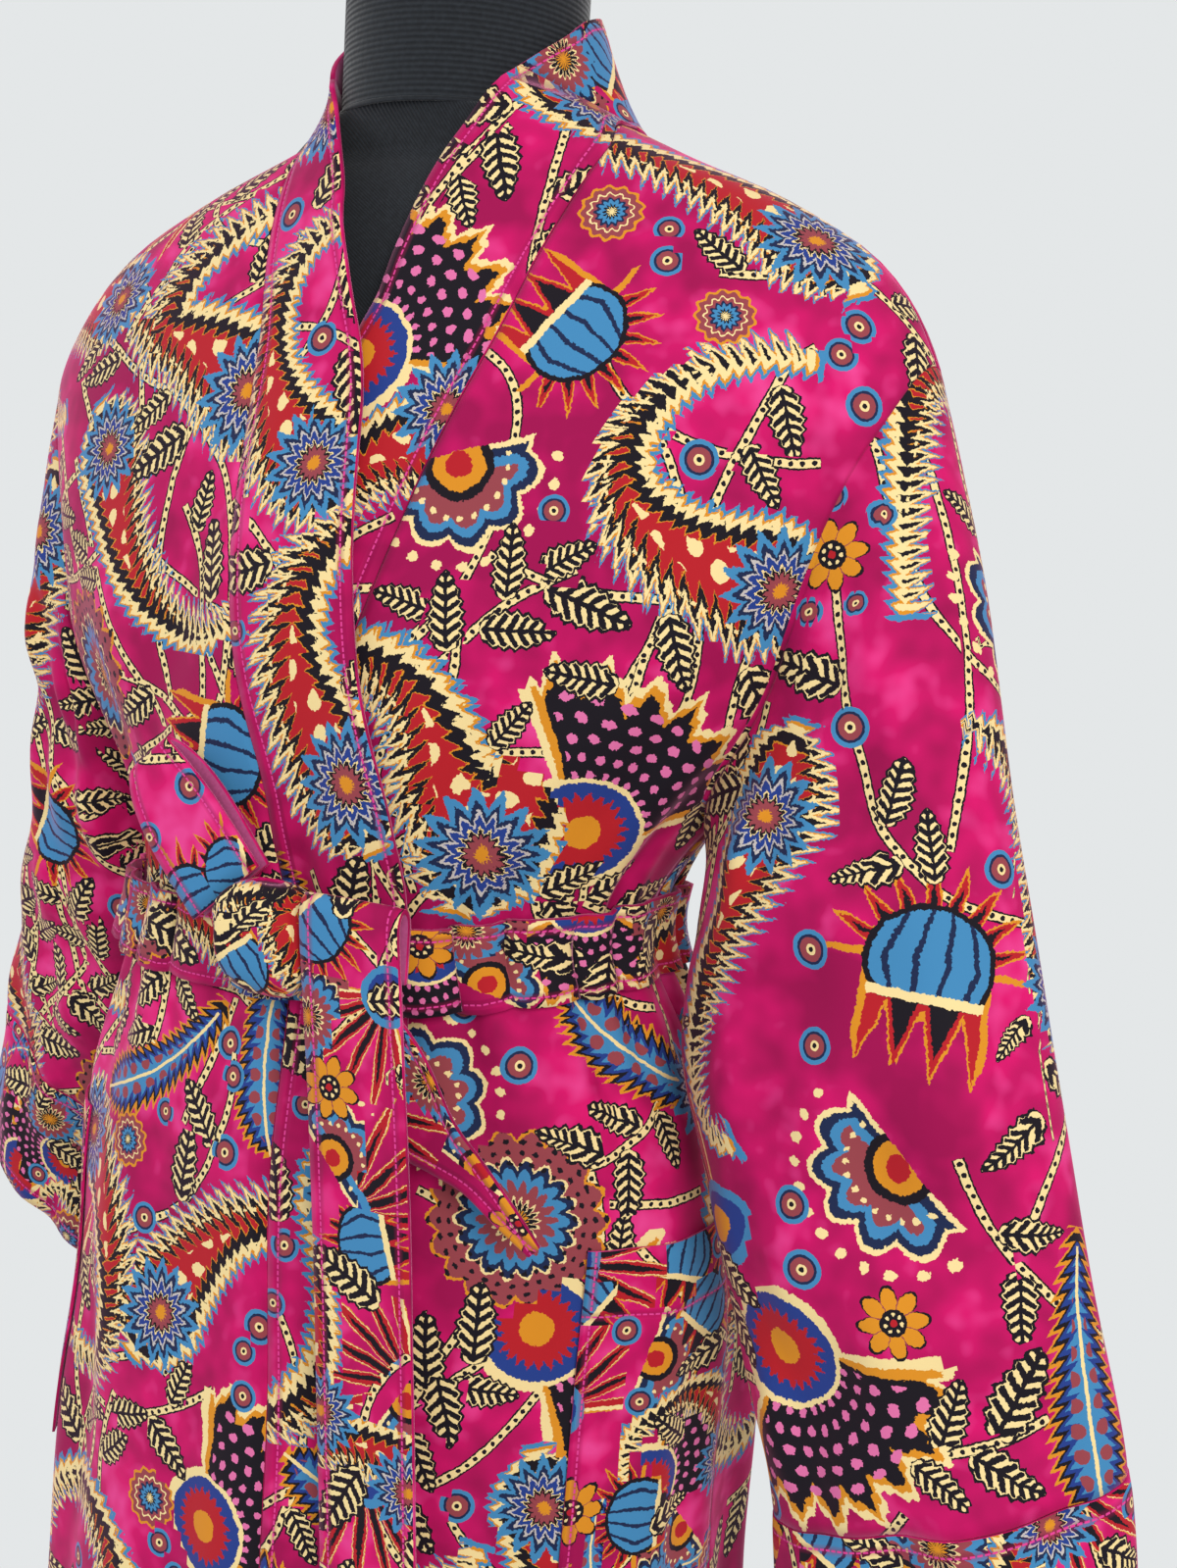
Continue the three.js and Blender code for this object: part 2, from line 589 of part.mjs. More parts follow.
// Front tail: folded over at the top and hanging down the front
const TAIL = table(['z', 'x', 'y'], [
  [690, 86, -164],
  [755, 81, -162.5],
  [820, 75.5, -161],
  [960, 63, -158],
  [1040, 55, -158],
  [1072, 52.5, -159],
  [1083, 52, -158.5],
  [1087, 52, -155],
  [1083, 52, -151.5],
  [1072, 52, -151],
  [1054, 51.7, -151],
]);
const sideways = new THREE.Vector3(1, 0, 0);
add('belt_tail_front', ribbon(TAIL.map(({ x, y, z }) => (
  { p: new THREE.Vector3(x, y, z), across: sideways, width: TAIL_WIDTH }
)), BELT_CLOTH), VELVET);

// Side tail: from behind the front tail down to its turned tip
const SIDE_TAIL = table(['x', 'y', 'z', 'tilt', 'width'], [
  [25.9, -143, 1046, 90, 26],
  [44, -142, 1030, 90, 48],
  [62, -142, 1011, 88, 58],
  [78, -142, 997, 82, 50],
  [94, -141, 981, 72, 28],
  [110, -140, 970, 62, 18],
  [126, -138, 955, 54, 13],
  [140, -136, 942, 48, 7],
]);
add('belt_tail_side', ribbon(SIDE_TAIL.map(({ x, y, z, tilt, width }) => ({
  p: new THREE.Vector3(x, y, z),
  across: new THREE.Vector3(Math.cos(degToRad(tilt)), 0, Math.sin(degToRad(tilt))),
  width,
})), BELT_CLOTH), VELVET);

// Dress form: a limbless torso that carries the robe on its shoulders
const FORM = table(['z', 'half', 'front', 'back', 'mid', 'round', 'shift'], [
  [700, 146, 98, 106, -14, 2.2, 0],
  [820, 164, 106, 118, -14, 2.2, 0],
  [900, 166, 104, 114, -16, 2.2, 0],
  [980, 146, 88, 94, -19, 2.2, -2],
  [1052, 122, 78, 76, -22, 2.2, -4],
  [1120, 132, 92, 84, -18, 2.2, -3],
  [1200, 158, 108, 98, -10, 2.2, 0],
  [1270, 172, 100, 104, -4, 2.1, 0],
  [1340, 186, 88, 104, 1, 2.0, 0],
  [1390, 188, 78, 98, 3, 1.9, 2],
  [1440, 80, 58, 62, 2, 2.0, 8],
]);
const TORSO_HEIGHTS = [700, 712, 760, 820, 880, 940, 1000, 1052, 1110, 1170, 1230, 1290, 1340, 1372, 1395, 1412, 1424];
const FORM_STEPS = 24;
const neckRing = (radius, z) => round(FORM_STEPS).map((turn) => neckPlace(radius, turn, z));
const torsoRings = TORSO_HEIGHTS.map((z) => round(FORM_STEPS).map((turn) => {
  const inset = TORSO.snug + TORSO.clear * Math.abs(Math.sin(turn));
  const snug = bodyPoint(z, turn, BODY, false).addScaledVector(bodyNormal(z, turn), -inset);
  return bodyPoint(z, turn, FORM, false).lerp(snug, smooth(1345, 1400, z));
}));
torsoRings[0] = torsoRings[0].map(({ x, y, z }) => (
  new THREE.Vector3(x * TORSO.bottom, lerp(NECK.middle, y, TORSO.bottom), z)
));
torsoRings.push(round(FORM_STEPS).map((turn) => new THREE.Vector3(
  COLLARBONE.x + COLLARBONE.half * Math.cos(turn),
  COLLARBONE.y + COLLARBONE.deep * Math.sin(turn),
  COLLARBONE.z,
)));
torsoRings.push(neckRing(NECK.radius + 0.4, NECK.low - SEAM));
add('form_torso', loft(torsoRings), FORM_CLOTH);
const neckHeights = [NECK.low, 1460, 1480, NECK.high - SEAM];
add('form_neck', loft(neckHeights.map((z) => neckRing(NECK.radius, z))), FORM_CLOTH);

// A turned solid from a profile that starts and ends on its axis
function turned(profile, steps, z) {
  const geometry = new THREE.LatheGeometry(profile.map(([r, h]) => new THREE.Vector2(r, h)), steps);
  geometry.deleteAttribute('normal');
  geometry.deleteAttribute('uv');
  return mergeVertices(geometry, 1e-4).rotateX(Math.PI / 2).translate(0, 0, z);
}
add('form_neck_cap', turned([
  [0, 0],
  [CAP.radius - CAP.edge, 0],
  [CAP.radius, CAP.edge],
  [CAP.radius, CAP.rise - 2 * CAP.edge],
  [CAP.radius - 2 * CAP.edge, CAP.rise],
  [0, CAP.rise],
], FORM_STEPS, NECK.high).translate(0, NECK.middle, 0), FORM_CLOTH);

// Pole and base
const poleLong = TORSO.low - SEAM - POLE.low;
add('stand_pole', turned([
  [0, 0],
  [POLE.radius, 0],
  [POLE.radius, poleLong],
  [0, poleLong],
], POLE.steps, POLE.low), STEEL);
add('stand_base', turned([
  [0, 0],
  [BASE.radius - BASE.edge, 0],
  [BASE.radius, BASE.edge],
  [BASE.radius, BASE.thick - BASE.edge],
  [BASE.radius - BASE.edge, BASE.thick],
  [BASE.boss, BASE.thick + BASE.dish],
  [BASE.boss - BASE.taper, BASE.bossTop],
  [0, BASE.bossTop],
], BASE.steps, 0), STEEL);

export default group;
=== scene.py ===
"""Looks of a printed velvet kimono robe on a dress form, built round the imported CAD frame."""

import ast
import logging
import math
from dataclasses import dataclass, field
from enum import Enum
from typing import Optional, Union

import bmesh
import bpy
import numpy as np
from mathutils import Matrix, Vector


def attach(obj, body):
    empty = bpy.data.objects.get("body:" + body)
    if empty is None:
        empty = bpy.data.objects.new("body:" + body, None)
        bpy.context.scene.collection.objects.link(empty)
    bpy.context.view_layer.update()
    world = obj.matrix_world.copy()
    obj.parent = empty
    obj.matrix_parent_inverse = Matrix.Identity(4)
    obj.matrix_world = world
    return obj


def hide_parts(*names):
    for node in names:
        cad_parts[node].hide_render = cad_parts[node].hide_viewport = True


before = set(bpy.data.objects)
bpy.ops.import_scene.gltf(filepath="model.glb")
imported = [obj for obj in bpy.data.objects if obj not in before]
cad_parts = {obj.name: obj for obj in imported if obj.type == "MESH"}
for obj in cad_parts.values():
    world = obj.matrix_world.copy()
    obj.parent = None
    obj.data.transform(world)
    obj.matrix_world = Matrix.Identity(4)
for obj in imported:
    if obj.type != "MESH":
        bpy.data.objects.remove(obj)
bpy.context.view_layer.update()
LOG = logging.getLogger("robe")
MM = 0.001

# The CAD's sizes in millimetres that more than one piece needs
CLOTH = 2.0
DOUBLED = 3.6
SEAM = 0.3
BAND_WIDTH = 65.0
HEM = 290.0
HIP = 1000.0
ARMPIT = 1122.0
ARMHOLE = 212.0
ARMHOLE_REACH = 55.0
NECK_POINT = 1440.0
NECK_MIDDLE = -12.0
OVER_LIFT = 5.4
ARMHOLE_SEAM = 0.7 * SEAM
BAND_SEAM = 0.6 * SEAM

Array = np.ndarray
Socket = Union[bpy.types.NodeSocket, float]


def smooth(low: float, high: float, at: Array) -> Array:
    """Smooth step from 0 at low to 1 at high."""
    t = np.clip((np.asarray(at, float) - low) / (high - low), 0, 1)
    return t * t * (3 - 2 * t)


def power(value: Array, by: Array) -> Array:
    """A power that keeps its sign."""
    return np.sign(value) * np.abs(value) ** by


def unit(vectors: Array) -> Array:
    """The vectors at length one."""
    return vectors / np.maximum(np.linalg.norm(vectors, axis=-1, keepdims=True), 1e-9)


@dataclass(frozen=True)
class Table:
    """Rows with named columns, read smoothly between the rows by the first column."""

    columns: tuple[str, ...]
    rows: tuple[tuple[float, ...], ...]

    def column(self, name: str) -> Array:
        """All the values of one column."""
        return np.array([row[self.columns.index(name)] for row in self.rows], float)

    def at(self, name: str, where: Array) -> Array:
        """One column's value at places of the first column.

        Args:
            name: the column that is read.
            where: places along the first column.

        Returns:
            The smoothly interpolated values.
        """
        keys, values = self.column(self.columns[0]), self.column(name)
        slopes = np.empty_like(values)
        slopes[1:-1] = (values[2:] - values[:-2]) / (keys[2:] - keys[:-2])
        slopes[0] = (values[1] - values[0]) / (keys[1] - keys[0])
        slopes[-1] = (values[-1] - values[-2]) / (keys[-1] - keys[-2])
        where = np.asarray(where, float)
        i = np.clip(np.searchsorted(keys, where) - 1, 0, len(keys) - 2)
        span = keys[i + 1] - keys[i]
        t = np.clip((where - keys[i]) / span, 0, 1)
        rise = values[i + 1] - values[i]
        a = slopes[i] * span - rise
        b = rise - slopes[i + 1] * span
        return values[i] + rise * t + t * (1 - t) * (a * (1 - t) + b * t)

    def places(self, where: Array) -> Array:
        """Points from the columns x, y and z."""
        return np.stack([self.at(name, where) for name in "xyz"], -1)


RING_COLUMNS = ("z", "half", "front", "back", "mid", "round", "shift")
BODY = Table(RING_COLUMNS, (
    (290, 212, 166, 168, -10, 2.1, 0),
    (560, 198, 150, 150, -12, 2.15, 0),
    (700, 189, 138, 142, -13, 2.2, 0),
    (800, 187, 128, 134, -14, 2.2, 0),
    (940, 182, 112, 118, -16, 2.3, 0),
    (1005, 163, 99, 103, -19, 2.3, -3),
    (1052, 142, 94, 92, -22, 2.3, -5),
    (1080, 142, 99, 93, -21, 2.3, -5),
    (1115, 158, 108, 98, -18, 2.3, -2),
    (1200, 220, 120, 112, -8, 2.2, 0),
    (1300, 248, 110, 118, -2, 2.0, 0),
    (1340, 240, 100, 114, 1, 1.95, 0),
    (1380, 210, 86, 106, 3, 1.9, 1),
    (1408, 160, 76, 94, 3, 1.9, 4),
    (1425, 116, 68, 80, 3, 1.95, 6),
    (1440, 80, 58, 62, 2, 2.0, 8),
))
FORM = Table(RING_COLUMNS, (
    (700, 146, 98, 106, -14, 2.2, 0),
    (820, 164, 106, 118, -14, 2.2, 0),
    (900, 166, 104, 114, -16, 2.2, 0),
    (980, 146, 88, 94, -19, 2.2, -2),
    (1052, 122, 78, 76, -22, 2.2, -4),
    (1120, 132, 92, 84, -18, 2.2, -3),
    (1200, 158, 108, 98, -10, 2.2, 0),
    (1270, 172, 100, 104, -4, 2.1, 0),
    (1340, 186, 88, 104, 1, 2.0, 0),
    (1390, 188, 78, 98, 3, 1.9, 2),
    (1440, 80, 58, 62, 2, 2.0, 8),
))
FOLDS = Table(("turn", "width", "depth", "low", "high", "drift"), (
    (-20, 9, 8, 150, 1000, -4),
    (-48, 8, 4, 150, 900, 4),
    (-140, 9, 6, 150, 930, -5),
    (-163, 9, 9, 150, 1020, 2),
    (14, 9, 9, 150, 980, 5),
    (42, 9, 10, 150, 1010, -3),
    (70, 9, 9, 150, 1015, 3),
    (98, 9, 10, 150, 1015, -3),
    (126, 9, 9, 150, 1010, 3),
    (156, 9, 9, 150, 1000, -4),
    (-30, 7, 6, 1090, 1250, 3),
    (-52, 6, 4, 1090, 1190, -2),
    (-138, 6, 5, 1090, 1220, 4),
    (-158, 7, 6, 1090, 1260, -2),
    (30, 8, 7, 1090, 1240, -3),
    (58, 8, 7, 1090, 1210, 2),
    (90, 8, 8, 1090, 1260, 0),
    (122, 8, 7, 1090, 1210, -2),
    (150, 8, 7, 1090, 1240, 3),
))
CRUMPLES = Table(("around", "upward", "phase", "height", "middle", "reach"), (
    (26, 0.006, 0.4, 2.6, 1048, 70),
    (37, -0.009, 1.9, 1.3, 1062, 58),
    (9, 0.021, 2.3, 2.8, 1175, 90),
    (14, -0.027, 0.7, 1.9, 1150, 100),
    (13, 0.008, 3.0, 2.6, 740, 260),
    (22, -0.011, 1.1, 1.5, 620, 240),
    (6, 0.034, 4.2, 2.0, 880, 160),
))
SLEEVE_CRUMPLES = Table(("around", "along", "phase", "height"), (
    (5, 13, 0.3, 2.8),
    (8, -24, 2.0, 1.8),
    (3, 33, 1.2, 2.4),
    (13, 9, 4.0, 1.0),
))
FOLD_RISE = 90.0
FOLD_FADE = 160.0
SEAMS = Table(("z", "right", "left"), (
    (290, 30, -62),
    (754, 13, -52),
    (900, 2, -44),
    (991, -6, -36),
    (1052, -8, -22),
    (1110, -14, 0),
    (1170, -30, 18),
    (1214, -38, 32),
    (1246, -42, 42),
    (1279, -45, 53),
    (1315, -48, 67),
    (1339, -52, 75),
    (1367, -60, 82),
    (1387, -64, 88),
    (1407, -66, 94),
    (1425, -68, 95),
    (1440, -70, 86),
))
FREE_EDGE = Table(("z", "leftX", "leftY", "leftZ", "rightX", "rightY", "rightZ"), (
    (1300, 6, -110, 1316, 11, -115, 1308),
    (1340, 11, -98, 1358, 0, -103, 1354),
    (1365, 21, -82, 1396, -12, -94, 1384),
    (1385, 28, -73, 1417, -19, -84, 1404),
    (1405, 35, -67, 1431, -29, -74, 1424),
    (1425, 41, -61, 1445, -39, -64, 1443),
    (1440, 46, -57, 1453, -46, -58, 1453),
))
NECK_EDGE = Table(("turn", "height"), (
    (-38, 1458),
    (-26, 1468),
    (-10, 1480),
    (0, 1488),
    (25, 1496),
    (90, 1499),
))
SLEEVE_COLUMNS = ("share", "outX", "outZ", "inX", "inZ", "y", "deep")
SLEEVES = {
    "left": Table(SLEEVE_COLUMNS, (
        (0, 247, 1332, 188, 1124, -4, 55),
        (0.1, 261, 1292, 184, 1102, -10, 56),
        (0.25, 280, 1235, 167, 1070, -24, 54),
        (0.45, 304, 1150, 168, 1018, -42, 50),
        (0.65, 332, 1058, 193, 950, -56, 46),
        (0.85, 361, 960, 221, 877, -66, 42),
        (1, 385, 886, 240, 823, -74, 38),
        (1.2, 401, 793, 252, 730, -80, 36),
    )),
    "right": Table(SLEEVE_COLUMNS, (
        (0, -247, 1332, -188, 1124, -4, 55),
        (0.1, -254, 1292, -184, 1102, -4, 56),
        (0.25, -258, 1240, -176, 1072, -2, 54),
        (0.45, -266, 1165, -176, 1030, 6, 52),
        (0.65, -286, 1082, -187, 968, 18, 48),
        (0.85, -313, 995, -198, 905, 32, 44),
        (1, -336, 932, -206, 858, 42, 42),
        (1.2, -356, 840, -222, 764, 46, 40),
    )),
}
SLEEVE_FOLDS = Table(("angle", "width", "depth", "low", "high", "drift"), (
    (62, 15, 6, -0.1, 0.9, -14),
    (118, 14, 7, -0.1, 0.75, 10),
    (150, 12, 5, 0.2, 1.1, -12),
    (-70, 15, 7, -0.1, 0.95, 12),
    (-120, 14, 6, 0, 1.1, -10),
))
TAIL = Table(("step", "z", "x", "y"), (
    (0, 690, 86, -164),
    (3, 755, 81, -162.5),
    (6, 820, 75.5, -161),
    (12, 960, 63, -158),
    (16, 1040, 55, -158),
    (18, 1072, 52.5, -159),
    (19, 1083, 52, -158.5),
    (19.7, 1087, 52, -155),
    (20.4, 1083, 52, -151.5),
    (21.4, 1072, 52, -151),
    (23, 1054, 51.7, -151),
))
SIDE_TAIL = Table(("step", "x", "y", "z", "tilt", "width"), (
    (0, 25.9, -143, 1046, 90, 26),
    (1, 44, -142, 1030, 90, 48),
    (2, 62, -142, 1011, 88, 58),
    (3, 78, -142, 997, 82, 50),
    (4, 94, -141, 981, 72, 28),
    (5, 110, -140, 970, 62, 18),
    (6, 126, -138, 955, 54, 13),
    (7, 140, -136, 942, 48, 7),
))


class Side(Enum):
    """The wearer's side that a piece is on."""

    LEFT = "left"
    RIGHT = "right"

    @property
    def sign(self) -> int:
        """1 on the left, where X is positive, and -1 on the right."""
        return 1 if self is Side.LEFT else -1

    def lift(self, z: Array, turn: Array) -> Array:
        """How far this side's front stands off the body: the right one lies over the left."""
        if self is Side.LEFT:
            return np.zeros(turn.shape)
        x = body_point(z, turn, BODY, False)[..., 0]
        free = SEAMS.at("left", z - 16) - BAND_WIDTH
        return OVER_LIFT * smooth(-40, -6, x - free) * (1 - smooth(1350, 1400, z))


def crest(off: Array) -> Array:
    """A fold's section: a round crest with a shallow dip to each side."""
    return np.exp(-off * off) * (1 - 0.7 * off * off)


def fold_depth(z: Array, turn: Array) -> Array:
    """How far the folds stand out of the body at a height and a turn, in millimetres."""
    total = np.zeros(np.broadcast(z, turn).shape)
    for at, width, depth, low, high, drift in FOLDS.rows:
        along = smooth(low, low + FOLD_RISE, z) * (1 - smooth(high - FOLD_FADE, high, z))
        centre = np.radians(at + drift * (z - low) / (high - low))
        off = np.arctan2(np.sin(turn - centre), np.cos(turn - centre)) / math.radians(width)
        total += depth * along * crest(off)
    for around, upward, phase, height, middle, reach in CRUMPLES.rows:
        near = np.exp(-((z - middle) / reach) ** 2) * (1 - smooth(1290, 1335, z))
        total += height * near * np.sin(around * turn + upward * z + phase)
    return total


def body_point(z: Array, turn: Array, rings: Table = BODY, folded: bool = True) -> Array:
    """Points of the body's surface.

    Args:
        z: heights.
        turn: turns about the middle, 0 at the left side and -pi / 2 in front.
        rings: the table of rings round the body.
        folded: whether the cloth's folds stand out of it.

    Returns:
        The points, with the coordinates in the last axis.
    """
    z, turn = np.broadcast_arrays(np.asarray(z, float), np.asarray(turn, float))
    out = fold_depth(z, turn) if folded else 0.0
    deep = np.where(np.sin(turn) < 0, rings.at("front", z), rings.at("back", z)) + out
    by = 2 / rings.at("round", z)
    x = rings.at("shift", z) + (rings.at("half", z) + out) * power(np.cos(turn), by)
    return np.stack([x, rings.at("mid", z) + deep * power(np.sin(turn), by), z], -1)


def body_normal(z: Array, turn: Array) -> Array:
    """The directions that the body's surface faces."""
    around = body_point(z, turn + 0.02) - body_point(z, turn - 0.02)
    up = body_point(z + 2, turn) - body_point(z - 2, turn)
    return unit(np.cross(around, up))


def on_body(z: Array, turn: Array, lift: Array = 0.0) -> tuple[Array, Array]:
    """Points moved out from the body's surface, with the directions that they face."""
    z, turn = np.broadcast_arrays(np.asarray(z, float), np.asarray(turn, float))
    n = body_normal(z, turn)
    return body_point(z, turn) + n * np.asarray(lift)[..., None], n


def turn_at_x(z: Array, x: Array) -> Array:
    """The turn in front at which a ring passes a sideways place."""
    across = (x - BODY.at("shift", z)) / BODY.at("half", z)
    return -np.arccos(np.clip(power(across, BODY.at("round", z) / 2), -1, 1))


def edge_turn(z: Array, deep: str, reach: Array) -> Array:
    """The turn from the side at which a ring is a given way off the side seam."""
    return np.arcsin((reach / BODY.at(deep, z)) ** (BODY.at("round", z) / 2))


def panel_edge(z: Array, deep: str) -> Array:
    """The turn from the side at which a panel ends: the side seam, or the armhole's edge."""
    up = np.clip((z - ARMPIT - ARMHOLE / 2) / (ARMHOLE / 2), -1, 1)
    return edge_turn(z, deep, ARMHOLE_REACH * np.sqrt(1 - up * up) + ARMHOLE_SEAM)


def heights() -> Array:
    """The heights of the rows that the fronts, the back and the bands share."""
    skirt = np.linspace(HEM, HIP, 101)[:-1]
    waist = np.linspace(HIP, ARMPIT, 21)[:-1]
    hole = ARMPIT + ARMHOLE / 2 * (1 - np.cos(np.linspace(0, np.pi, 37)))[:-1]
    top = ARMPIT + ARMHOLE
    shoulder = top + (NECK_POINT - top) * np.sin(np.linspace(0, np.pi / 2, 22))
    return np.concatenate([skirt, waist, hole, shoulder])


def wrinkles(points: Array, size: float, seed: int) -> Array:
    """Low, long waves of velvet that give each piece its own unevenness, in millimetres.

    Args:
        points: places in millimetres.
        size: the height of the waves.
        seed: which set of waves.

    Returns:
        The height at each place.
    """
    rng = np.random.default_rng(seed)
    total = np.zeros(points.shape[:-1])
    for _ in range(9):
        direction = rng.normal(size=3) * np.array([1.0, 1.0, 0.45])
        wave = points @ (direction / np.linalg.norm(direction)) / rng.uniform(9, 34)
        total += np.sin(wave + rng.uniform(0, 6.28)) * rng.uniform(0.3, 1)
    return size * total / 4


def grid_normals(points: Array, outward: Array, closed: bool) -> Array:
    """The directions of a grid's points, from their neighbours, on the outward side."""
    if closed:
        across = np.roll(points, -1, 1) - np.roll(points, 1, 1)
    else:
        across = np.gradient(points, axis=1)
    n = unit(np.cross(across, np.gradient(points, axis=0)))
    flip = np.sum(n * outward, -1, keepdims=True) < 0
    return np.where(flip, -n, n)


class Dye(Enum):
    """The print's colours and the ground, as sRGB hex, with the ground's painted shade and painted
    sheen and the painted shade of the stitch grooves.
    """

    PINK = "CE0E66"
    # Deep pink of the ground: painted shade
    PINK_DEEP = "96084A"
    # Pale pink of the ground: painted sheen
    PINK_LIGHT = "E04893"
    ROSE = "D46A9E"
    # Dark pink of the stitch grooves: painted shade
    SEAM_SHADE = "8E0A48"
    CREAM = "E6CE93"
    SKY = "3E7FAE"
    ROYAL = "223A82"
    NAVY = "1A2647"
    BLACK = "16121A"
    RED = "AC1B25"
    BRICK = "8E3F47"
    OCHRE = "CF8620"
    GREY = "B9B2B0"
    REVERSE = "B0487E"
    THREAD = "D8408F"


def linear(code: str) -> tuple[float, float, float, float]:
    """An sRGB hex colour as linear red, green, blue and alpha."""
    parts = [int(code[k:k + 2], 16) / 255 for k in (0, 2, 4)]
    return (*(c / 12.92 if c <= 0.04045 else ((c + 0.055) / 1.055) ** 2.4 for c in parts), 1.0)


@dataclass(frozen=True)
class Motif:
    """One kind of printed motif, drawn in its own coordinates.

    The names x and y run from -1 to 1 over the motif, and r and a are the same in polar form.
    On a stroke, x runs along it and y across it, both as shares of its length, or in
    millimetres on a stem. The depth is above zero inside the motif and picks its bands.
    """

    code: int
    radius: float
    fuzz: float
    lines: tuple[tuple[str, str], ...]
    depth: str
    bands: tuple[tuple[float, Dye], ...]
    marks: tuple[tuple[Dye, str], ...] = ()


def tooth(text: str) -> str:
    """A triangle wave from 0 to 1 with a tooth for each unit of the text's value."""
    return f"(abs(frac({text}) - 0.5) * 2)"


def tooth_round(count: int) -> str:
    """A triangle wave with that many teeth round a circle."""
    return tooth(f"a * {count / (2 * math.pi):.4f}")


def dots(across: str, along: str, size: float) -> str:
    """Round dots, one for each unit of both texts' values."""
    u, v = f"(frac({across}) - 0.5)", f"(frac({along}) - 0.5)"
    return f"{u} * {u} + {v} * {v} - {size * size:.4f}"


def beads(radius: float, count: int, size: float) -> str:
    """Round beads in a ring, above zero inside them."""
    turn = f"((frac(a * {count / (2 * math.pi):.4f}) - 0.5) * {2 * math.pi * radius / count:.4f})"
    return f"{size} - sqrt((r - {radius}) * (r - {radius}) + {turn} * {turn})"


STEM = Motif(1, 4, 1.0, (), "min((2.5 - abs(y)) * 0.25, min(x, total - x))", (
    (0, Dye.BLACK), (0.2, Dye.CREAM),
), (
    (Dye.BLACK, dots("x * 0.2", "y * 0.2 + 0.5", 0.22)),
))
EYE = Motif(1, 15, 0.08, (), "1 - r - 0.06 * sin(a * 13)", (
    (0, Dye.OCHRE), (0.1, Dye.BRICK), (0.3, Dye.CREAM), (0.36, Dye.BRICK), (0.5, Dye.NAVY),
    (0.6, Dye.SKY), (0.77, Dye.BLACK), (0.88, Dye.CREAM),
))
DAISY = Motif(2, 17, 0.08, (("petal", "0.6 + 0.38 * abs(cos(a * 4))"),), "(petal - r) / petal", (
    (0, Dye.BLACK), (0.08, Dye.OCHRE),
), (
    (Dye.BRICK, "max(abs(cos(a * 4)) * r - 0.05, 0.36 - r)"),
    (Dye.BLACK, "r - 0.36"),
    (Dye.CREAM, "0 - (" + beads(0.22, 7, 0.05) + ")"),
    (Dye.RED, "r - 0.1"),
))
ROSETTE = Motif(3, 27, 0.08, (
    ("spike", f"0.66 + 0.34 * {tooth_round(15)}"),
), "(spike - r) / spike", (
    (0, Dye.SKY), (0.2, Dye.NAVY), (0.34, Dye.GREY), (0.42, Dye.ROYAL), (0.58, Dye.CREAM),
    (0.62, Dye.BLACK), (0.7, Dye.BRICK), (0.86, Dye.OCHRE),
))
LEAF_WIDTH = "0.48 * sqrt(max(1 - x * x, 0)) * (1 - 0.3 * x)"
VEIN = tooth("x * 3.5 - abs(y) * 2.4")
LEAF = Motif(
    4, 20, 0.08, (
        ("w", f"{LEAF_WIDTH} * (0.86 + 0.24 * {tooth('x * 3.5 + 0.2')})"),
        ("vein", VEIN),
    ),
    "w - abs(y)", ((0, Dye.BLACK), (0.08, Dye.CREAM)), (
        (Dye.BLACK, "max(0.44 - vein, abs(y) - w * 0.76)"),
        (Dye.BLACK, "max(abs(y) - 0.05, abs(x) - 0.9)"),
    ),
)
FLAME_LEAF = Motif(
    5, 40, 0.08, (
        ("w", LEAF_WIDTH),
        ("lick", tooth("x * 5.5 - abs(y) * 3")),
    ),
    "w * (0.66 + 0.42 * lick) - abs(y)", ((0, Dye.CREAM), (0.035, Dye.OCHRE), (0.08, Dye.BLACK)), (
        (Dye.OCHRE, f"max({dots('x * 6', 'y * 6', 0.3)}, abs(y) - w * 0.6)"),
        (Dye.SKY, "max(abs(y) - 0.035, abs(x) - 0.8)"),
    ),
)
BERRY = Motif(6, 8, 0.08, (), "1 - r", (
    (0, Dye.SKY), (0.24, Dye.NAVY), (0.38, Dye.BRICK), (0.72, Dye.CREAM), (0.86, Dye.BLACK),
))
FAN = Motif(1, 56, 0.045, (
    ("q", "sqrt((x + 0.75) * (x + 0.75) + y * y) * 0.6"),
    ("b", "atan2(y, x + 0.75)"),
    ("zig", f"{tooth('b * 3.6')} * 0.8 + {tooth('b * 13')} * 0.2"),
), "max(min(0.8 + 0.2 * zig - q, (1.12 - abs(b)) * 0.6), 0.36 - q)", (
    (0, Dye.CREAM), (0.05, Dye.OCHRE), (0.1, Dye.BLACK),
), (
    (Dye.ROSE, f"max({dots('q * 10', 'b * 5 + floor(q * 10) * 0.5', 0.26)}, "
               "max(q - 0.78, abs(b) - 0.9))"),
    (Dye.CREAM, "q - 0.33"),
    (Dye.ROYAL, "q - 0.3"),
    (Dye.RED, "q - 0.18 - 0.07 * zig"),
    (Dye.OCHRE, "q - 0.1"),
))
CUP = Motif(2, 48, 0.045, (
    ("bowl", "(1 - sqrt((x + 0.1) * (x + 0.1) * 4 + y * y * 3)) * 0.5"),
    ("flame", tooth("y * 3.1 + 0.5")),
    ("fringe", f"min(0.46 + 0.52 * {tooth_round(19)} - r, 0 - x - 0.05)"),
    ("crown", "min(min(0.34 + 0.56 * flame - x, 0.56 - abs(y)), x + 0.02)"),
), "max(max(fringe, crown), bowl)", (
    (0, Dye.OCHRE), (0.07, Dye.RED), (0.2, Dye.BLACK),
), (
    (Dye.BLACK, "max(0 - bowl, x - 0.26)"),
    (Dye.SKY, "max(0.05 - bowl, x - 0.2)"),
    (Dye.NAVY, "max(abs(frac(y * 4.5 / (1.2 - abs(x + 0.1))) - 0.5) - 0.11, "
               "max(0.05 - bowl, x - 0.2))"),
    (Dye.CREAM, "max(abs(x - 0.21) - 0.045, abs(y) - 0.5)"),
))
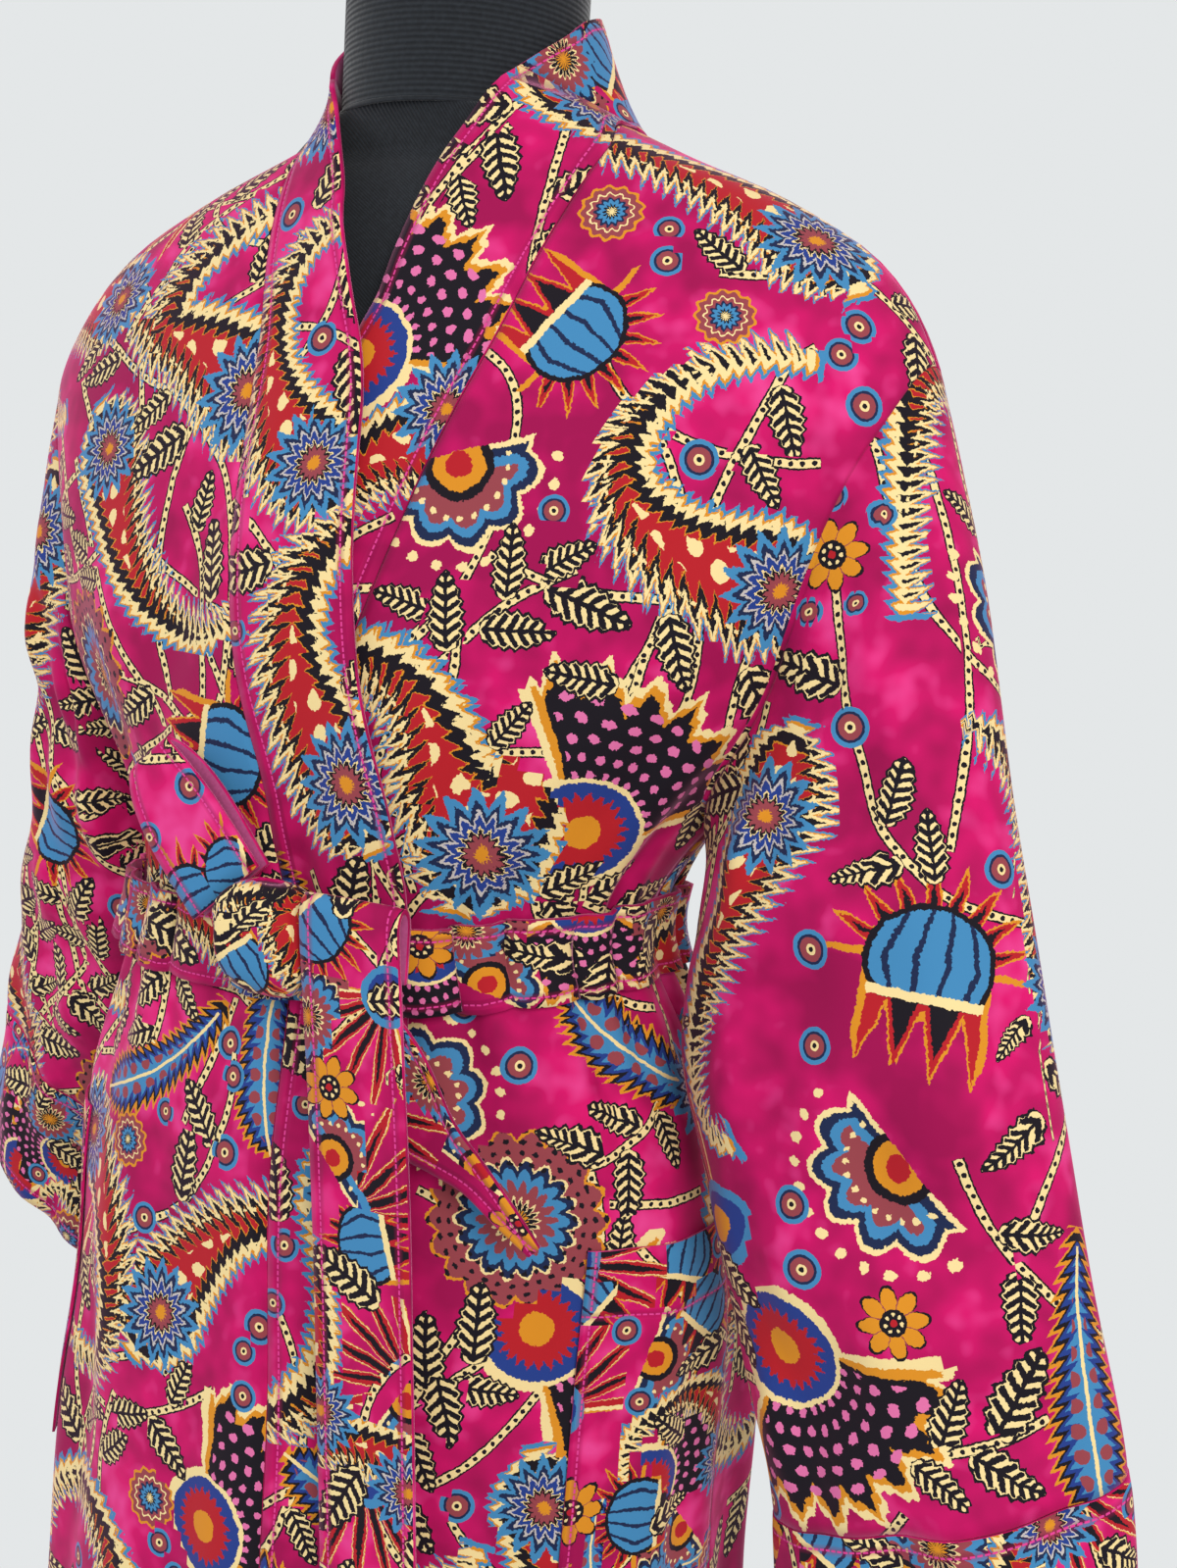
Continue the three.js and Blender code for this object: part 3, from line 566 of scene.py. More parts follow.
HALF_FLOWER = Motif(
    3, 52, 0.045, (("petal", "abs(cos(a * 5))"), ("pearl", f"min({beads(0.9, 24, 0.05)}, x)")),
    "max(min(0.66 + 0.12 * petal - r, x + 0.12), pearl)", (
        (0, Dye.CREAM), (0.05, Dye.NAVY), (0.13, Dye.SKY), (0.22, Dye.BRICK),
    ), (
        (Dye.CREAM, "0 - (" + beads(0.46, 22, 0.028) + ")"),
        (Dye.BLACK, "r - 0.32"),
        (Dye.OCHRE, "r - 0.24"),
        (Dye.RED, "r - 0.12"),
    ),
)
BURST = Motif(4, 52, 0.045, (
    ("q", "sqrt((x + 0.85) * (x + 0.85) + y * y) * 0.55"),
    ("b", "atan2(y, x + 0.85)"),
    ("ray", tooth("b * 2.9 + 0.5")),
), "max(min(0.16 + 0.86 * ray - q, (1.04 - abs(b)) * 0.6), 0.24 - q)", (
    (0, Dye.OCHRE), (0.05, Dye.CREAM), (0.09, Dye.RED), (0.3, Dye.BLACK),
), (
    (Dye.SKY, "q - 0.24"),
    (Dye.ROYAL, "q - 0.18"),
    (Dye.OCHRE, "q - 0.1"),
))
CURL = Motif(5, 96, 0.008, (
    ("w", "0.13 * sqrt(min(max(x * 7, 0), 1)) * max(1 - x, 0) * (1.15 - x) + 0.013"),
    ("plume", f"{tooth('x * 34 + abs(y) * 14')} * (0.022 + 0.03 * min(max(y * 40, 0), 1))"),
), "min(w + 0.008 + plume - abs(y), min(x + 0.03, 1.02 - x))", (
    (0, Dye.SKY), (0.01, Dye.OCHRE), (0.018, Dye.CREAM), (0.036, Dye.BLACK),
    (0.064, Dye.OCHRE), (0.07, Dye.RED),
), (
    (Dye.CREAM, "max(max(abs(w - abs(y) - 0.016) - 0.003, "
                "abs(frac(x * 40) - 0.5) * 0.05 - 0.01), x - 0.8)"),
    (Dye.CREAM, f"max(max({dots('x * 15', 'y * 15 + x * 6', 0.3)}, abs(y) - w + 0.06), x - 0.8)"),
))
PLUME = Motif(
    6, 60, 0.008, (
        ("w", "0.13 * sqrt(min(max(x * 5, 0), 1)) * sqrt(max(1 - x, 0)) + 0.01"),
        ("barb", tooth("x * 20 + abs(y) * 14")),
    ), "min(w + 0.05 * barb - abs(y), min(x + 0.02, 1.02 - x))", (
        (0, Dye.OCHRE), (0.022, Dye.BLACK), (0.045, Dye.ROYAL), (0.075, Dye.SKY),
    ), (
        (Dye.BRICK, f"max({dots('x * 11', 'y * 11', 0.3)}, abs(y) - w + 0.05)"),
        (Dye.CREAM, "max(abs(y) - 0.007, x - 0.95)"),
    ),
)
ROUND_FLOWER = Motif(7, 50, 0.045, (("scallop", "abs(cos(a * 9))"),), "0.86 + 0.12 * scallop - r", (
    (0, Dye.OCHRE), (0.04, Dye.BRICK), (0.3, Dye.CREAM), (0.33, Dye.NAVY), (0.42, Dye.SKY),
    (0.54, Dye.BRICK), (0.7, Dye.CREAM), (0.74, Dye.BLACK), (0.84, Dye.OCHRE),
), (
    (Dye.BLACK, f"max({dots('r * 9', 'a * 4.7747', 0.22)}, 0.58 - r)"),
))
LAYERS: dict[str, tuple[Motif, ...]] = {
    "stems": (STEM,),
    "blooms": (FAN, CUP, HALF_FLOWER, BURST, CURL, PLUME, ROUND_FLOWER),
    "sprigs": (EYE, DAISY, ROSETTE, LEAF, FLAME_LEAF, BERRY),
}


def add_node(
    tree: bpy.types.NodeTree, kind: str, inputs: Optional[dict] = None, **settings: object
) -> bpy.types.Node:
    """Adds a node with its settings and links.

    Args:
        tree: the tree that it goes into.
        kind: the node's type.
        inputs: values or sockets by input name or place.
        settings: the node's own settings.

    Returns:
        The node.
    """
    node = tree.nodes.new(kind)
    for key, value in settings.items():
        setattr(node, key, value)
    for key, value in (inputs or {}).items():
        if isinstance(value, bpy.types.NodeSocket):
            tree.links.new(value, node.inputs[key])
        else:
            node.inputs[key].default_value = value
    return node


class Painter:
    """Writes a material's nodes, with lines of arithmetic turned into Math nodes."""

    OPERATORS = {ast.Add: "ADD", ast.Sub: "SUBTRACT", ast.Mult: "MULTIPLY", ast.Div: "DIVIDE"}
    CALLS = {
        "abs": "ABSOLUTE", "min": "MINIMUM", "max": "MAXIMUM", "sin": "SINE", "cos": "COSINE",
        "frac": "FRACT", "floor": "FLOOR", "sqrt": "SQRT", "atan2": "ARCTAN2", "less": "LESS_THAN",
    }

    def __init__(self, name: str, roughness: float, **finish: float) -> None:
        """Makes the material and its shader.

        Args:
            name: the material's name.
            roughness: the shader's roughness.
            finish: further shader inputs by name, with _ for a space.
        """
        self.material = bpy.data.materials.new(name)
        self.material.use_nodes = True
        self.tree = self.material.node_tree
        self.tree.nodes.clear()
        self.names: dict[str, Socket] = {}
        self.made: dict[str, Socket] = {}
        settings = {key.replace("_", " "): value for key, value in finish.items()}
        self.shader = self.add("ShaderNodeBsdfPrincipled", {"Roughness": roughness, **settings})
        self.add("ShaderNodeOutputMaterial", {"Surface": self.shader.outputs[0]})

    def add(self, kind: str, inputs: Optional[dict] = None, **settings: object) -> bpy.types.Node:
        """Adds a node to the material."""
        return add_node(self.tree, kind, inputs, **settings)

    def line(self, text: str) -> Socket:
        """The value of a line of arithmetic over the names known so far."""
        return self._value(ast.parse(text).body[0].value)

    def _value(self, part: ast.AST) -> Socket:
        """The value of one part of a parsed line."""
        if isinstance(part, ast.Constant):
            return float(part.value)
        if isinstance(part, ast.Name):
            return self.names[part.id]
        if isinstance(part, ast.UnaryOp):
            value = self._value(part.operand)
            return -value if isinstance(value, float) else self._math("MULTIPLY", value, -1.0)
        if isinstance(part, ast.BinOp):
            operation = self.OPERATORS[type(part.op)]
            return self._math(operation, self._value(part.left), self._value(part.right))
        values = [self._value(argument) for argument in part.args]
        return self._math(self.CALLS[part.func.id], *values)

    def _math(self, operation: str, *values: Socket) -> Socket:
        """A Math node's output, made once for the same operation on the same values."""
        numbers = [value for value in values if isinstance(value, float)]
        if len(numbers) == len(values) == 2:
            a, b = numbers
            fixed = {"ADD": a + b, "SUBTRACT": a - b, "MULTIPLY": a * b}
            if operation in fixed:
                return fixed[operation]
        key = operation + "|".join(
            repr(value) if isinstance(value, float) else value.node.name + value.identifier
            for value in values
        )
        if key not in self.made:
            node = self.add("ShaderNodeMath", dict(enumerate(values)), operation=operation)
            self.made[key] = node.outputs[0]
        return self.made[key]

    def mark(self, base: Socket, colour: Dye, distance: str) -> Socket:
        """Lays a colour where a line of arithmetic is below zero."""
        inside = self._math("LESS_THAN", self.line(distance), 0.0)
        layers = {0: inside, 6: base, 7: linear(colour.value)}
        return self.add("ShaderNodeMix", layers, data_type="RGBA").outputs[2]

    def draw(self, motif: Motif, layer: str, under: Socket) -> Socket:
        """Draws one kind of motif over a colour.

        Args:
            motif: what is drawn.
            layer: the layer that it lies in.
            under: the colour beneath.

        Returns:
            The colour socket.
        """
        self.names["x"] = self.line(f"x0 + wave_x * {motif.fuzz}")
        self.names["y"] = self.line(f"y0 + wave_y * {motif.fuzz}")
        self.names["r"] = self.line("sqrt(x * x + y * y)")
        self.names["a"] = self.line("atan2(y, x)")
        self.names["total"] = self.names["code"]
        for name, text in motif.lines:
            self.names[name] = self.line(text)
        depth = self.line(motif.depth)
        ramp = self.add("ShaderNodeValToRGB", {"Fac": depth})
        ramp.color_ramp.interpolation = "CONSTANT"
        stops = ramp.color_ramp.elements
        while len(stops) < len(motif.bands):
            stops.new(1)
        for stop, (start, dye) in zip(stops, motif.bands):
            stop.position = start
            stop.color = linear(dye.value)
        colour = ramp.outputs[0]
        for dye, text in motif.marks:
            colour = self.mark(colour, dye, text)
        inside = self._math("GREATER_THAN", depth, 0.0)
        code = self.names["code"]
        if layer == "stems":
            chosen = self._math("GREATER_THAN", code, 1.0)
        else:
            chosen = self._math("COMPARE", code, float(motif.code), 0.4)
        layers = {0: self._math("MULTIPLY", inside, chosen), 6: under, 7: colour}
        return self.add("ShaderNodeMix", layers, data_type="RGBA").outputs[2]

    def dress(
        self, colour: Socket, height: str = "", relief: tuple[float, float] = (0.0, 0.0)
    ) -> None:
        """Links the surface's colour, and its relief where it has one.

        Args:
            colour: the surface's colour.
            height: the relief's height, as a line of arithmetic.
            relief: how far it reaches, in metres, and its strength.
        """
        self.tree.links.new(colour, self.shader.inputs["Base Color"])
        if height:
            inputs = {"Height": self.line(height), "Distance": relief[0], "Strength": relief[1]}
            bump = self.add("ShaderNodeBump", inputs)
            self.tree.links.new(bump.outputs[0], self.shader.inputs["Normal"])


@dataclass(frozen=True)
class Finish:
    """A plain finish: two shades blended by fine noise, with ribs where it has them, and on the
    covers painted shade in the ribs' grooves.
    """

    name: str
    roughness: float
    shades: tuple[str, str]
    scale: float
    detail: float
    blend: str = "noise"
    height: str = ""
    relief: tuple[float, float] = (0.0, 0.0)
    ribs: str = ""
    shader: tuple[tuple[str, float], ...] = ()

    def material(self) -> bpy.types.Material:
        """Makes the finish's material."""
        p = Painter(self.name, self.roughness, **dict(self.shader))
        place = p.add("ShaderNodeTexCoord").outputs["Object"]
        noise = {"Vector": place, "Scale": self.scale, "Detail": self.detail}
        p.names["noise"] = p.add("ShaderNodeTexNoise", noise).outputs["Fac"]
        if self.ribs:
            parts = p.add("ShaderNodeSeparateXYZ", {0: place})
            p.names.update(x=parts.outputs[0], y=parts.outputs[1], z=parts.outputs[2])
            p.names["rib"] = p.line(self.ribs)
        low, high = (linear(shade) for shade in self.shades)
        blend = p.add("ShaderNodeMix", {0: p.line(self.blend), 6: low, 7: high}, data_type="RGBA")
        p.dress(blend.outputs[2], self.height, self.relief)
        return p.material


def ribs(across: str, pitch: float) -> str:
    """Ribs that many millimetres apart, as a line of arithmetic over x, y and z in metres."""
    return f"sin(({across}) * {2 * math.pi / (pitch * MM):.1f})"


def cover(name: str, shade: str, lines: str) -> Finish:
    """A black cloth cover with ribs or twill lines and some lint, its colour darker in the rib
    grooves as painted shade and paler on the crests as painted light.
    """
    return Finish(
        # Painted shade and light: the rib term darkens the colour in the grooves and lightens it on
        # the crests; the noise is lint
        name, 0.85, (shade, "2C3138"), 420.0, 3.0, "min(max(rib * 0.22 + noise * 0.9 - 0.2, 0), 1)",
        "rib * 0.5 + noise * 0.5", (0.0006, 0.6), lines,
        (("Sheen_Weight", 0.25), ("Sheen_Roughness", 0.4), ("Specular_IOR_Level", 0.25)),
    )


WEAVE = Finish(
    "velvet_ground_weave", 0.9, (Dye.REVERSE.value, "8C3362"), 700.0, 2.0,
    height="noise", relief=(0.0005, 0.4), shader=(("Sheen_Weight", 0.1),),
)
TWILL = cover("form_cotton_twill", "14171C", ribs("x + y + z", 2.0))
KNIT = cover("form_ribbed_knit", "15181D", ribs("z", 2.6))
CAP_PAINT = Finish("form_cap_satin_paint", 0.45, ("101215", "1B1E23"), 180.0, 3.0)
ENAMEL = Finish(
    "black_enamelled_steel", 0.38, ("17191D", "26292E"), 60.0, 4.0,
    "min(max((noise - 0.5) * 2, 0), 1)", "noise", (0.0004, 0.2), shader=(("Coat_Weight", 0.2),),
)


@dataclass
class Grid:
    """A sheet of cloth as rows of points in millimetres, with the directions that they face."""

    name: str
    points: Array
    normals: Array
    thick: float
    closed: bool = False
    stitches: tuple[tuple[str, float], ...] = ()
    print_seed: int = 0
    along: Array = field(init=False)
    across: Array = field(init=False)

    def __post_init__(self) -> None:
        """Measures the cloth along and across, in millimetres."""
        middle = self.points.shape[1] // 2
        steps = np.linalg.norm(np.diff(self.points[:, middle], axis=0), axis=-1)
        self.along = np.concatenate([[0], np.cumsum(steps)])
        sides = np.linalg.norm(np.diff(self.points, axis=1), axis=-1)
        self.across = np.concatenate([np.zeros((len(self.points), 1)), np.cumsum(sides, axis=1)], 1)

    def corners(self, values: Array) -> Array:
        """A value at each outer face's four corners, face by face."""
        turned = np.concatenate([values, values[:, :1]], 1) if self.closed else values
        quads = [turned[:-1, :-1], turned[:-1, 1:], turned[1:, 1:], turned[1:, :-1]]
        stacked = np.stack(quads, 2)
        return stacked.reshape(-1, 4, *values.shape[2:])

    def place(self, u: Array, v: Array) -> Array:
        """Points of the sheet at flat places, carried on in a straight line past its edges.

        Args:
            u: places across, in millimetres.
            v: places along, in millimetres.

        Returns:
            The points.
        """
        rows = len(self.along)
        i = np.clip(np.searchsorted(self.along, v) - 1, 0, rows - 2)
        s = (v - self.along[i]) / (self.along[i + 1] - self.along[i])
        result = []
        for k, row in enumerate(i):
            near = []
            for line in (row, row + 1):
                places = self.across[line]
                j = int(np.clip(np.searchsorted(places, u[k]) - 1, 0, len(places) - 2))
                t = (u[k] - places[j]) / max(places[j + 1] - places[j], 1e-6)
                t = float(np.clip(t, -20, 20))
                near.append(self.points[line, j] * (1 - t) + self.points[line, j + 1] * t)
            share = float(np.clip(s[k], -20, 20))
            result.append(near[0] * (1 - share) + near[1] * share)
        return np.array(result)

    def face_sizes(self) -> Array:
        """The areas of the outer faces, in square millimetres."""
        corners = self.corners(self.points)
        cross = np.cross(corners[:, 2] - corners[:, 0], corners[:, 3] - corners[:, 1])
        return np.linalg.norm(cross, axis=-1) / 2

    def flat_size(self) -> tuple[float, float]:
        """The sheet laid flat: its mean width and its mean length, in metres."""
        length = float(np.linalg.norm(np.diff(self.points, axis=0), axis=-1).sum(0).mean())
        return float(self.face_sizes().sum()) / length * MM, length * MM


class Crowd:
    """The places that are taken by motifs already."""

    def __init__(self) -> None:
        """Starts with no motif."""
        self.spots = np.empty((0, 4))

    def add(self, centre: Array, radius: float) -> None:
        """Notes a motif."""
        self.spots = np.vstack([self.spots, [*centre, radius]])

    def clear(self, centre: Array, radius: float, close: float) -> bool:
        """Whether a new motif keeps that share of its distance from all the others."""
        gaps = np.linalg.norm(self.spots[:, :3] - centre, axis=1)
        return bool(np.all(gaps > close * (radius + self.spots[:, 3])))


class Print:
    """Lays motifs over a sheet and gives each face its place in the motif that covers it."""

    NEAR = {"stems": 1.0, "blooms": 0.14, "sprigs": 0.16}
    CURLS_FIRST = 0.12
    SMALL = 50000.0
    SPINE_STEPS = 36
    # Square millimetres to each try, by what is laid
    TRY = {"blooms": 250, "sprays": 3600, "sprigs": 110}
    BLOOMS = {
        CURL: 0.34, FAN: 0.12, CUP: 0.14, HALF_FLOWER: 0.12, BURST: 0.1, PLUME: 0.1,
        ROUND_FLOWER: 0.08,
    }
    SPRIGS = (
        (EYE, 1.0), (DAISY, 1.0), (ROSETTE, 0.95), (FLAME_LEAF, 1.0), (LEAF, 1.1), (BERRY, 1.0),
    )

    def __init__(self, grid: Grid) -> None:
        """Lays out the whole print of one sheet."""
        self.grid = grid
        self.rng = np.random.default_rng(grid.print_seed)
        self.places = grid.corners(grid.points)
        self.faces = self.places.mean(1)
        self.facing = grid.corners(grid.normals).mean(1)
        along = np.broadcast_to(grid.along[:, None], grid.across.shape)
        self.flat = grid.corners(np.stack([grid.across, along], -1))[:, 0]
        sizes = grid.face_sizes()
        self.area = sizes.sum()
        self.shares = sizes / self.area
        self.large = self.area > self.SMALL
        self.values = {layer: np.zeros((len(self.faces), 4, 3), np.float32) for layer in LAYERS}
        self.best = {layer: np.full(len(self.faces), np.inf) for layer in LAYERS}
        self.taken, self.small = Crowd(), Crowd()
        self._lay_blooms()
        self._lay_sprays()
        self._lay_sprigs()

    def _pick(self) -> int:
        """A face at random, the larger ones more often."""
        return int(self.rng.choice(len(self.faces), p=self.shares))

    def _frame(self, face: int) -> tuple[Array, Array, Array]:
        """The way that a face looks, with the sheet's up and side there."""
        normal = unit(self.facing[face])
        up = self.places[face, 3] - self.places[face, 0]
        up = unit(up - normal * np.dot(up, normal))
        return normal, up, np.cross(up, normal)

    def _free(self, centre: Array, radius: float, close: float) -> bool:
        """Whether a motif at a centre keeps its distance from the large ones."""
        return self.taken.clear(centre, radius, close if self.large else close * 0.5)

    def _give(self, layer: str, chosen: Array, nearness: Array, values: Array) -> None:
        """Gives faces to a motif where it lies nearer than what they had."""
        wins = nearness < self.best[layer][chosen]
        self.best[layer][chosen[wins]] = nearness[wins]
        self.values[layer][chosen[wins]] = values[wins]

    def stamp(
        self, layer: str, motif: Motif, face: int, radius: float, angle: float,
        centre: Optional[Array] = None,
    ) -> None:
        """Stamps a motif round a face's centre, or round a point near it.

        Args:
            layer: the layer that it is printed in.
            motif: what is printed.
            face: the face whose direction it lies in.
            radius: half its size, in millimetres.
            angle: which way it points, from the sheet's own up.
            centre: where its middle is, if not at the face's centre.
        """
        normal, up, side = self._frame(face)
        axis = up * math.cos(angle) + side * math.sin(angle)
        other = np.cross(normal, axis)
        middle = self.faces[face] if centre is None else centre
        near = np.linalg.norm(self.faces - middle, axis=1) < radius * 1.25 + 8
        chosen = np.flatnonzero(near & (self.facing @ normal > 0.15))
        offset = self.places[chosen] - middle
        local = np.stack([offset @ axis, offset @ other], -1)
        length = np.linalg.norm(offset, axis=-1)
        stretch = length / np.maximum(np.linalg.norm(local, axis=-1), 1e-6)
        local *= np.clip(stretch, 1, 1.7)[..., None] / radius
        nearness = np.linalg.norm(local.mean(1), axis=-1) - 1
        keep = nearness < self.NEAR[layer] + 5 / radius
        code = np.full(local.shape[:2] + (1,), float(motif.code))
        self._give(layer, chosen[keep], nearness[keep], np.concatenate([local, code], -1)[keep])

    def stroke(self, layer: str, motif: Motif, spine: Array, scale: float, widest: float) -> None:
        """Prints a motif along a spine.

        Args:
            layer: the layer that it is printed in.
            motif: what is printed.
            spine: points along its middle.
            scale: what the places along and across are divided by.
            widest: half its greatest width, in millimetres.
        """
        reach = 12.0
        first = spine[0] + unit(spine[0] - spine[1]) * reach
        last = spine[-1] + unit(spine[-1] - spine[-2]) * reach
        spine = np.concatenate([[first], spine, [last]])
        legs = np.diff(spine, axis=0)
        sizes = np.linalg.norm(legs, axis=1)
        starts = np.concatenate([[0], np.cumsum(sizes)])[:-1] - reach
        total = sizes.sum() - 2 * reach
        middle = spine.mean(0)
        extent = np.linalg.norm(spine - middle, axis=1).max() + widest + 12
        chosen = np.flatnonzero(np.linalg.norm(self.faces - middle, axis=1) < extent)
        if not len(chosen):
            return
        offset = self.faces[chosen][:, None] - spine[None, :-1]
        share = np.clip(np.sum(offset * legs, -1) / sizes ** 2, 0, 1)
        gap = np.linalg.norm(offset - share[..., None] * legs, axis=-1)
        along = np.clip((starts + share * sizes) / total, 0, 1)
        room = widest * np.sqrt(np.clip(along * 6, 0, 1)) * (1 - along) if widest > 8 else widest
        leg = np.argmin(gap - room, axis=1)
        pick = np.arange(len(chosen))
        nearness = (gap - room)[pick, leg]
        axis = legs[leg] / sizes[leg][:, None]
        offset = self.places[chosen] - spine[leg][:, None]
        x = np.einsum("fkc,fc->fk", offset, axis)
        across = offset - x[..., None] * axis[:, None]
        side = np.cross(self.facing[chosen], axis)
        y = np.linalg.norm(across, axis=-1) * np.sign(np.einsum("fkc,fc->fk", across, side))
        place = (starts[leg][:, None] + x) / scale
        code = float(motif.code) if scale > 1 else total
        values = np.stack([place, y / scale, np.full(y.shape, code)], -1)
        keep = nearness < (9 if scale > 1 else 6)
        self._give(layer, chosen[keep], nearness[keep], values[keep])

    def spine(
        self, face: int, length: float, heading: float, curl: float, bend: float, start: float
    ) -> Array:
        """Points of a curve over the sheet.

        Args:
            face: where it starts, or where its middle is.
            length: how long it is, in millimetres.
            heading: the way that it sets out.
            curl: how far it turns in all.
            bend: how much of the turn comes late, as a power.
            start: the share of its length that lies before the face.

        Returns:
            The points.
        """
        steps = self.SPINE_STEPS
        angle = heading + curl * ((np.arange(steps) + 0.5) / steps) ** bend
        u = np.concatenate([[0], np.cumsum(np.cos(angle))]) * length / steps
        v = np.concatenate([[0], np.cumsum(np.sin(angle))]) * length / steps
        keep = int(start * steps)
        u0, v0 = self.flat[face]
        return self.grid.place(u0 + u - u[keep], v0 + v - v[keep])

    def _lay_blooms(self) -> None:
        """Lays the large motifs, each clear of the others."""
        kinds, odds = list(self.BLOOMS), np.array(list(self.BLOOMS.values()))
        tries = int(self.area / self.TRY["blooms"])
        for tried in range(tries):
            face = self._pick()
            motif = kinds[int(self.rng.choice(len(kinds), p=odds))]
            motif = CURL if tried < tries * self.CURLS_FIRST and self.large else motif
            radius = motif.radius * self.rng.uniform(0.85, 1.05) * (1 if self.large else 0.7)
            heading = self.rng.uniform(0, 2 * math.pi)
            curl = self.rng.choice([-1, 1]) * self.rng.uniform(3.0, 4.2)
            if not self._free(self.faces[face], radius, 0.8):
                continue
            if motif is CURL:
                length = radius * 2.5
                spine = self.spine(face, length, heading, curl, 2.2, 0.42)
                self._lay_curve(motif, spine, length, 0.15)
                head = self._nearest(spine[4])[0]
                self.stamp("sprigs", ROSETTE, head, length * 0.13, heading)
                self.small.add(self.faces[head], length * 0.12)
            elif motif is PLUME:
                length = radius * 2.1
                spine = self.spine(face, length, heading, curl * 0.3, 1.4, 0.42)
                self._lay_curve(motif, spine, length, 0.11)
            else:
                self.taken.add(self.faces[face], radius)
                self.stamp("blooms", motif, face, radius, heading)

    def _lay_curve(self, motif: Motif, spine: Array, length: float, width: float) -> None:
        """Prints a long motif along its spine and notes the room that it takes."""
        self.stroke("blooms", motif, spine, length, length * width)
        for k in range(2, len(spine), 4):
            self.taken.add(spine[k], length * (0.13 if k < 20 else 0.08))

    def _lay_sprays(self) -> None:
        """Lays curved stems with leaves to both sides and a flower at the end."""
        last = self.SPINE_STEPS
        for _ in range(int(self.area / self.TRY["sprays"])):
            face = self._pick()
            length = self.rng.uniform(110, 210)
            heading = self.rng.uniform(0, 2 * math.pi)
            curl = self.rng.uniform(-2.2, 2.2)
            spine = self.spine(face, length, heading, curl, 1.0, 0.3)
            inside = {k: self._nearest(spine[k]) for k in range(3, last + 1, 3)}
            if np.median([gap for _, gap in inside.values()]) > 12:
                continue
            self.stroke("stems", STEM, spine, 1.0, 3)
            side = 1
            for k in range(3, last - 1, 3):
                target, gap = inside[k]
                if gap > 9:
                    continue
                side = -side
                self._leaf(spine[k], spine[k + 1] - spine[k], side, target)
            target, gap = inside[last]
            end = spine[last]
            kind = (EYE, DAISY, ROSETTE)[int(self.rng.integers(3))]
            apart = self.small.clear(end, kind.radius, 0.85) and self._free(end, kind.radius, 0.7)
            if gap < 9 and apart:
                self.stamp("sprigs", kind, target, kind.radius, 0.0, end)
                self.small.add(end, kind.radius)
                self._berries(end, kind.radius, target)

    def _berries(self, middle: Array, radius: float, face: int) -> None:
        """Prints berries round the flower at a stem's end."""
        _, up, side = self._frame(face)
        for angle in np.arange(7) * 2 * math.pi / 7 + self.rng.uniform(0, 1):
            size = self.rng.uniform(5.5, 8)
            centre = middle + (up * math.cos(angle) + side * math.sin(angle)) * (radius + size + 2)
            if self.small.clear(centre, size, 0.95) and self._free(centre, size, 0.8):
                self.small.add(centre, size)
                self.stamp("sprigs", BERRY, face, size, 0.0, centre)

    def _nearest(self, point: Array) -> tuple[int, float]:
        """The face nearest to a point, and how far off it is."""
        gaps = np.linalg.norm(self.faces - point, axis=1)
        face = int(np.argmin(gaps))
        return face, float(gaps[face])

    def _leaf(self, foot: Array, ahead: Array, side: int, face: int) -> None:
        """Prints a leaf that leaves a stem to one side."""
        radius = self.rng.uniform(14, 22)
        normal, up, across = self._frame(face)
        ahead = unit(ahead - normal * np.dot(ahead, normal))
        lean = self.rng.uniform(0.7, 1.1) * side
        way = ahead * math.cos(lean) + np.cross(normal, ahead) * math.sin(lean)
        centre = foot + way * (radius + 2)
        if not (self.small.clear(centre, radius, 0.66) and self._free(centre, radius, 0.72)):
            return
        angle = math.atan2(float(way @ across), float(way @ up))
        self.small.add(centre, radius * 0.8)
        self.stamp("sprigs", LEAF, face, radius, angle, centre)

    def _lay_sprigs(self) -> None:
        """Fills what is left with small flowers, berries and single leaves."""
        for _ in range(int(self.area / self.TRY["sprigs"])):
            face = self._pick()
            motif, size = self.SPRIGS[int(self.rng.integers(len(self.SPRIGS)))]
            radius = motif.radius * size * self.rng.uniform(0.85, 1.1)
            room = 0.84 if motif in (LEAF, FLAME_LEAF) else 1.0
            centre = self.faces[face]
            if not (self.small.clear(centre, radius, room) and self._free(centre, radius, 0.85)):
                continue
            self.small.add(centre, radius)
            self.stamp("sprigs", motif, face, radius, self.rng.uniform(0, 2 * math.pi))


